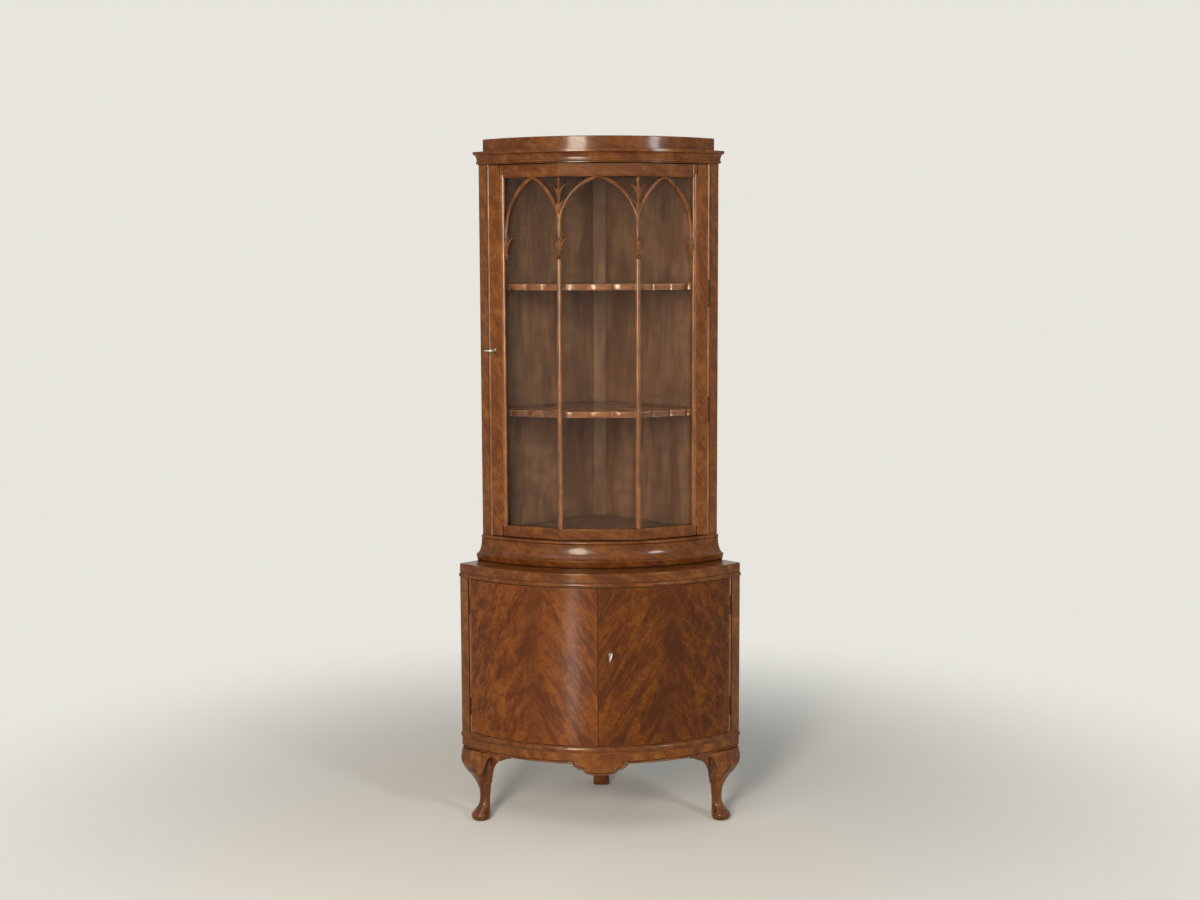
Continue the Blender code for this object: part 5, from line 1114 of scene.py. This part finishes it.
def key_shells(lock, tilt, tip):
    """A key: an oval bow, a collared and ringed shaft, and its bit."""
    a, b = around(48)[:, None], around(12)[None, :]
    wire = BOW_WIRE * (1 + 0.12 * np.cos(2 * a)) * np.cos(b)
    bow = np.dstack([(BOW_REACH[0] + wire) * np.cos(a), BOW_OUT + (BOW_REACH[1] + wire) * np.sin(a),
                     BOW_WIRE * np.sin(b) + 0 * a])
    profile = [(0.0001, tip), (0.0018, tip + 0.0003), (0.0020, tip + 0.002), (0.0020, 0.0022),
               (0.0033, 0.0026), (0.0034, 0.0040), (0.0022, 0.0048), (0.0021, 0.0150), (0.0030, 0.0165),
               (0.0030, 0.0180), (0.0022, 0.0195), (0.0021, 0.0225), (0.0034, 0.0245), (0.0024, 0.0268),
               (0.0001, 0.0275)]
    across, over, out = turned(profile, around(24))
    bit = [[(-BIT_HALF, y, -BIT_DROP), (BIT_HALF, y, -BIT_DROP), (BIT_HALF, y, 0.0), (-BIT_HALF, y, 0.0)]
           for y in (tip + 0.0005, tip + 0.0005 + BIT_WIDTH)]
    turn = np.array(((cos(tilt), 0, -sin(tilt)), (0, 1, 0), (sin(tilt), 0, cos(tilt))))
    return [(lock.spot(bow @ turn), "loop"), lock.spot(np.dstack([across, out, over])), lock.spot(bit)]


def keys():
    """The two keys, and the small plates round their keyholes."""
    a = around(32)
    for name, lock, tilt, tip, door in (("base", BASE_LOCK, radians(75), -0.0159, "base_right_door_leaf"),
                                        ("display", DISPLAY_LOCK, 0.0, -0.0179, "display_door")):
        place(f"{name}_key_bow_and_shaft", key_shells(lock, tilt, tip), STEEL, [f"{name}_key"],
              f"{name}_key_body", sharp=50)
        rows = [np.stack([PLATE_HALF[0] * share * np.cos(a), np.full(len(a), out),
                          PLATE_HALF[1] * share * np.sin(a) - PLATE_DROP], 1)
                for share, out in PLATE_SECTION]
        place(f"{name}_escutcheon", [(lock.spot(rows), "loop")], DARK_BRASS, (), door, sharp=50)


KNUCKLE_RADIUS = BEAD_RADIUS + 0.00005
KNUCKLE_EASE = 0.0004


def knuckle(centre, low, high):
    """A hinge knuckle with eased ends."""
    ease = KNUCKLE_EASE
    profile = [(KNUCKLE_RADIUS - ease, low), (KNUCKLE_RADIUS, low + ease), (KNUCKLE_RADIUS, high - ease),
               (KNUCKLE_RADIUS - ease, high)]
    across, over, height = turned(profile, around(28))
    return np.dstack([centre[0] + across, centre[1] + over, height])


def hinges():
    """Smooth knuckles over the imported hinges: the outer two on the frame, the middle one on the door."""
    for stile, (jamb, side, body, _) in HINGED.items():
        centre = jamb.point(0, 0) * (side, 1)
        for name in hinge_names(stile):
            low, high = Z[f"{name}_frame_leaf"]
            third = (high - low - 2 * GAP) / 3
            outer = [knuckle(centre, low, low + third), knuckle(centre, high - third, high)]
            place(f"{name}_frame_knuckles", outer, BRASS)
            middle = knuckle(centre, low + third + GAP, high - third - GAP)
            place(f"{name}_door_knuckle", [middle], BRASS, (), body)


# The base doors' veneers: how proud they are, how far their edges and backs lie behind the bow, their
# rounding and ends, and where they stop
VENEER_PROUD = 0.0002
VENEER_EDGE, VENEER_BACK = 0.0008, 0.0012
VENEER_EASE = 0.0010
VENEER_ROUND = 0.0006
VENEER_ENDS = (0.0001, 0.0011)
HINGE_MARGIN = 0.0012
LEAF_DEPTH = 0.018
MEETING_EDGE, MEETING_SHIFT = 0.005, 0.001


def base_door_veneers():
    """Smooth veneered faces on the bowed base doors: a thin sheet just proud of each door's front."""
    for word, side, look in (("left", -1, LEFT_VENEER), ("right", 1, SHADED_RIGHT_VENEER)):
        low, high = Z[f"base_{word}_door"]
        meet = asin((MEETING_SHIFT - side * MEETING_EDGE) / BASE_R)
        hinge_side = BASE_JAMB.angle - (DOOR_EDGE + HINGE_MARGIN) / (BASE_R - LEAF_DEPTH)
        outlines = []
        for ease in (VENEER_EASE, 0.0, 0.0, VENEER_EASE):
            margin = (VENEER_PROUD + ease) / BASE_R
            a = spaced(meet + margin, hinge_side - margin, 40)
            front = on_arc(BASE_R + VENEER_PROUD - ease * 0.6, BASE_CY, a)
            edge_a = on_arc(BASE_R - VENEER_EDGE, BASE_CY, a[[0]] - VENEER_ROUND / BASE_R)
            edge_b = on_arc(BASE_R - VENEER_EDGE, BASE_CY, a[[-1]] + VENEER_ROUND / BASE_R)
            back = on_arc(BASE_R - VENEER_BACK, BASE_CY, a[::-1])
            outlines.append(joined(front, edge_b, back, edge_a) * (side, 1))
        near, far = VENEER_ENDS
        shell = stack(outlines, (low + near, low + far, high - far, high - near))
        place(f"{word}_door_veneer", [shell], look, (), f"base_{word}_door_leaf")


# Floor, light and camera
CAMERA_PLACE = (0.0246, -4.2137, 1.4657)
CAMERA_LENS, SENSOR_WIDTH = 47.96, 36.0
CAMERA_PITCH = radians(6.47)
CAMERA_YAW = radians(-0.32)
CAMERA_ROLL = radians(-0.22)
BACKGROUND = colour(0.80, 0.785, 0.73)
SKY_LIGHT = colour(0.26, 0.26, 0.26)
FLOOR_TONE = colour(0.80, 0.78, 0.72)
FLOOR_HALF = 30.0
FLOOR_FADE = (0.55, 2.2)
# The lamps: name, place, target, size, power in watts, tone and spread in degrees
MIDDLE = (0.0, 0.0, 0.9)
LAMPS = (("warm soft box", (-1.20, -4.4, 1.9), MIDDLE, (1.0, 2.3), 175.0, (1.0, 0.90, 0.76), 180),
         ("low strip", (-0.3, -0.97, 0.29), (-0.07, -0.23, 0.29), (0.12, 0.5), 0.17, (0.92, 0.96, 1), 55),
         ("cool window", (3.1, -3.7, 2.5), MIDDLE, (0.8, 0.9), 56.0, (0.88, 0.95, 1.0), 180),
         ("ceiling fill", (-1.2, -2.6, 4.2), MIDDLE, (3.0, 2.4), 40.0, (1.0, 0.97, 0.93), 180))


def on_stage(made):
    """Link the floor, a lamp or the camera, and mark it as part of the stage."""
    bpy.context.scene.collection.objects.link(made)
    made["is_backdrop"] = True


def seen_directly(bench):
    """1 for camera, mirror and glass rays, 0 for the rest."""
    paths = bench.node("ShaderNodeLightPath")
    seen = bench.math("MAXIMUM", paths.outputs["Is Camera Ray"], paths.outputs["Is Glossy Ray"])
    return bench.math("MAXIMUM", seen, paths.outputs["Is Transmission Ray"])


def backdrop():
    """A pale floor that takes the shadow near the cabinet and fades into a pale surround."""
    data = bpy.data.meshes.new("floor")
    corners = [(x * FLOOR_HALF, y * FLOOR_HALF, 0) for x, y in ((-1, -1), (1, -1), (1, 1), (-1, 1))]
    data.from_pydata(corners, [], [(0, 1, 2, 3)])
    look, bench, shader = material("pale floor")
    bench.feed(shader, {"Base Color": FLOOR_TONE, "Roughness": 0.9, "Specular IOR Level": 0.1})
    length = bench.node("ShaderNodeVectorMath", {0: bench.spot()}, operation="LENGTH")
    far = bench.math("MULTIPLY", bench.fade(length.outputs["Value"], *FLOOR_FADE), seen_directly(bench))
    blended(look, bench, far, shader, bench.node("ShaderNodeEmission", {"Color": BACKGROUND}))
    data.materials.append(look)
    on_stage(bpy.data.objects.new("floor", data))
    world = bpy.data.worlds.new("surround")
    bpy.context.scene.world = world
    world.use_nodes = True
    bench = Bench(world.node_tree)
    tone = bench.mix(seen_directly(bench), SKY_LIGHT, BACKGROUND)
    bench.feed(world.node_tree.nodes["Background"], {"Color": tone, "Strength": 1.0})


def lights():
    """A warm soft box beside the camera, a low strip before the base, a cool window and a wide fill."""
    for name, place_at, target, size, power, tone, spread in LAMPS:
        data = bpy.data.lights.new(name, "AREA")
        data.shape = "ELLIPSE"
        data.size, data.size_y = size
        data.energy = power
        data.color = tone
        data.spread = radians(spread)
        lamp = bpy.data.objects.new(name, data)
        lamp.location = place_at
        lamp.visible_camera = False
        lamp.rotation_euler = (Vector(target) - Vector(place_at)).to_track_quat("-Z", "Y").to_euler()
        on_stage(lamp)


def camera():
    """The photograph's view: forward, right and up from its yaw, pitch and roll."""
    level = Vector((cos(CAMERA_YAW), -sin(CAMERA_YAW), 0))
    ahead = Vector((sin(CAMERA_YAW), cos(CAMERA_YAW), 0))
    forward = cos(CAMERA_PITCH) * ahead + sin(CAMERA_PITCH) * Vector((0, 0, -1))
    overhead = level.cross(forward)
    right = cos(CAMERA_ROLL) * level + sin(CAMERA_ROLL) * overhead
    up = -sin(CAMERA_ROLL) * level + cos(CAMERA_ROLL) * overhead
    data = bpy.data.cameras.new("camera")
    data.lens = CAMERA_LENS
    data.sensor_width = SENSOR_WIDTH
    made = bpy.data.objects.new("camera", data)
    turn = Matrix((right, up, -forward)).transposed().to_4x4()
    made.matrix_world = Matrix.Translation(CAMERA_PLACE) @ turn
    on_stage(made)
    bpy.context.scene.camera = made


dress_packed_nodes()
base_mouldings()
apron()
legs()
stiles()
waist()
cornice()
stickings()
mullions()
tracery()
shelves()
keys()
hinges()
base_door_veneers()
backdrop()
lights()
camera()
bpy.context.scene.view_settings.view_transform = "Standard"

LOW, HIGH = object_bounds()
SIZES = [[float(value) for value in corner] for corner in (CAD_LOW, CAD_HIGH, LOW, HIGH)]
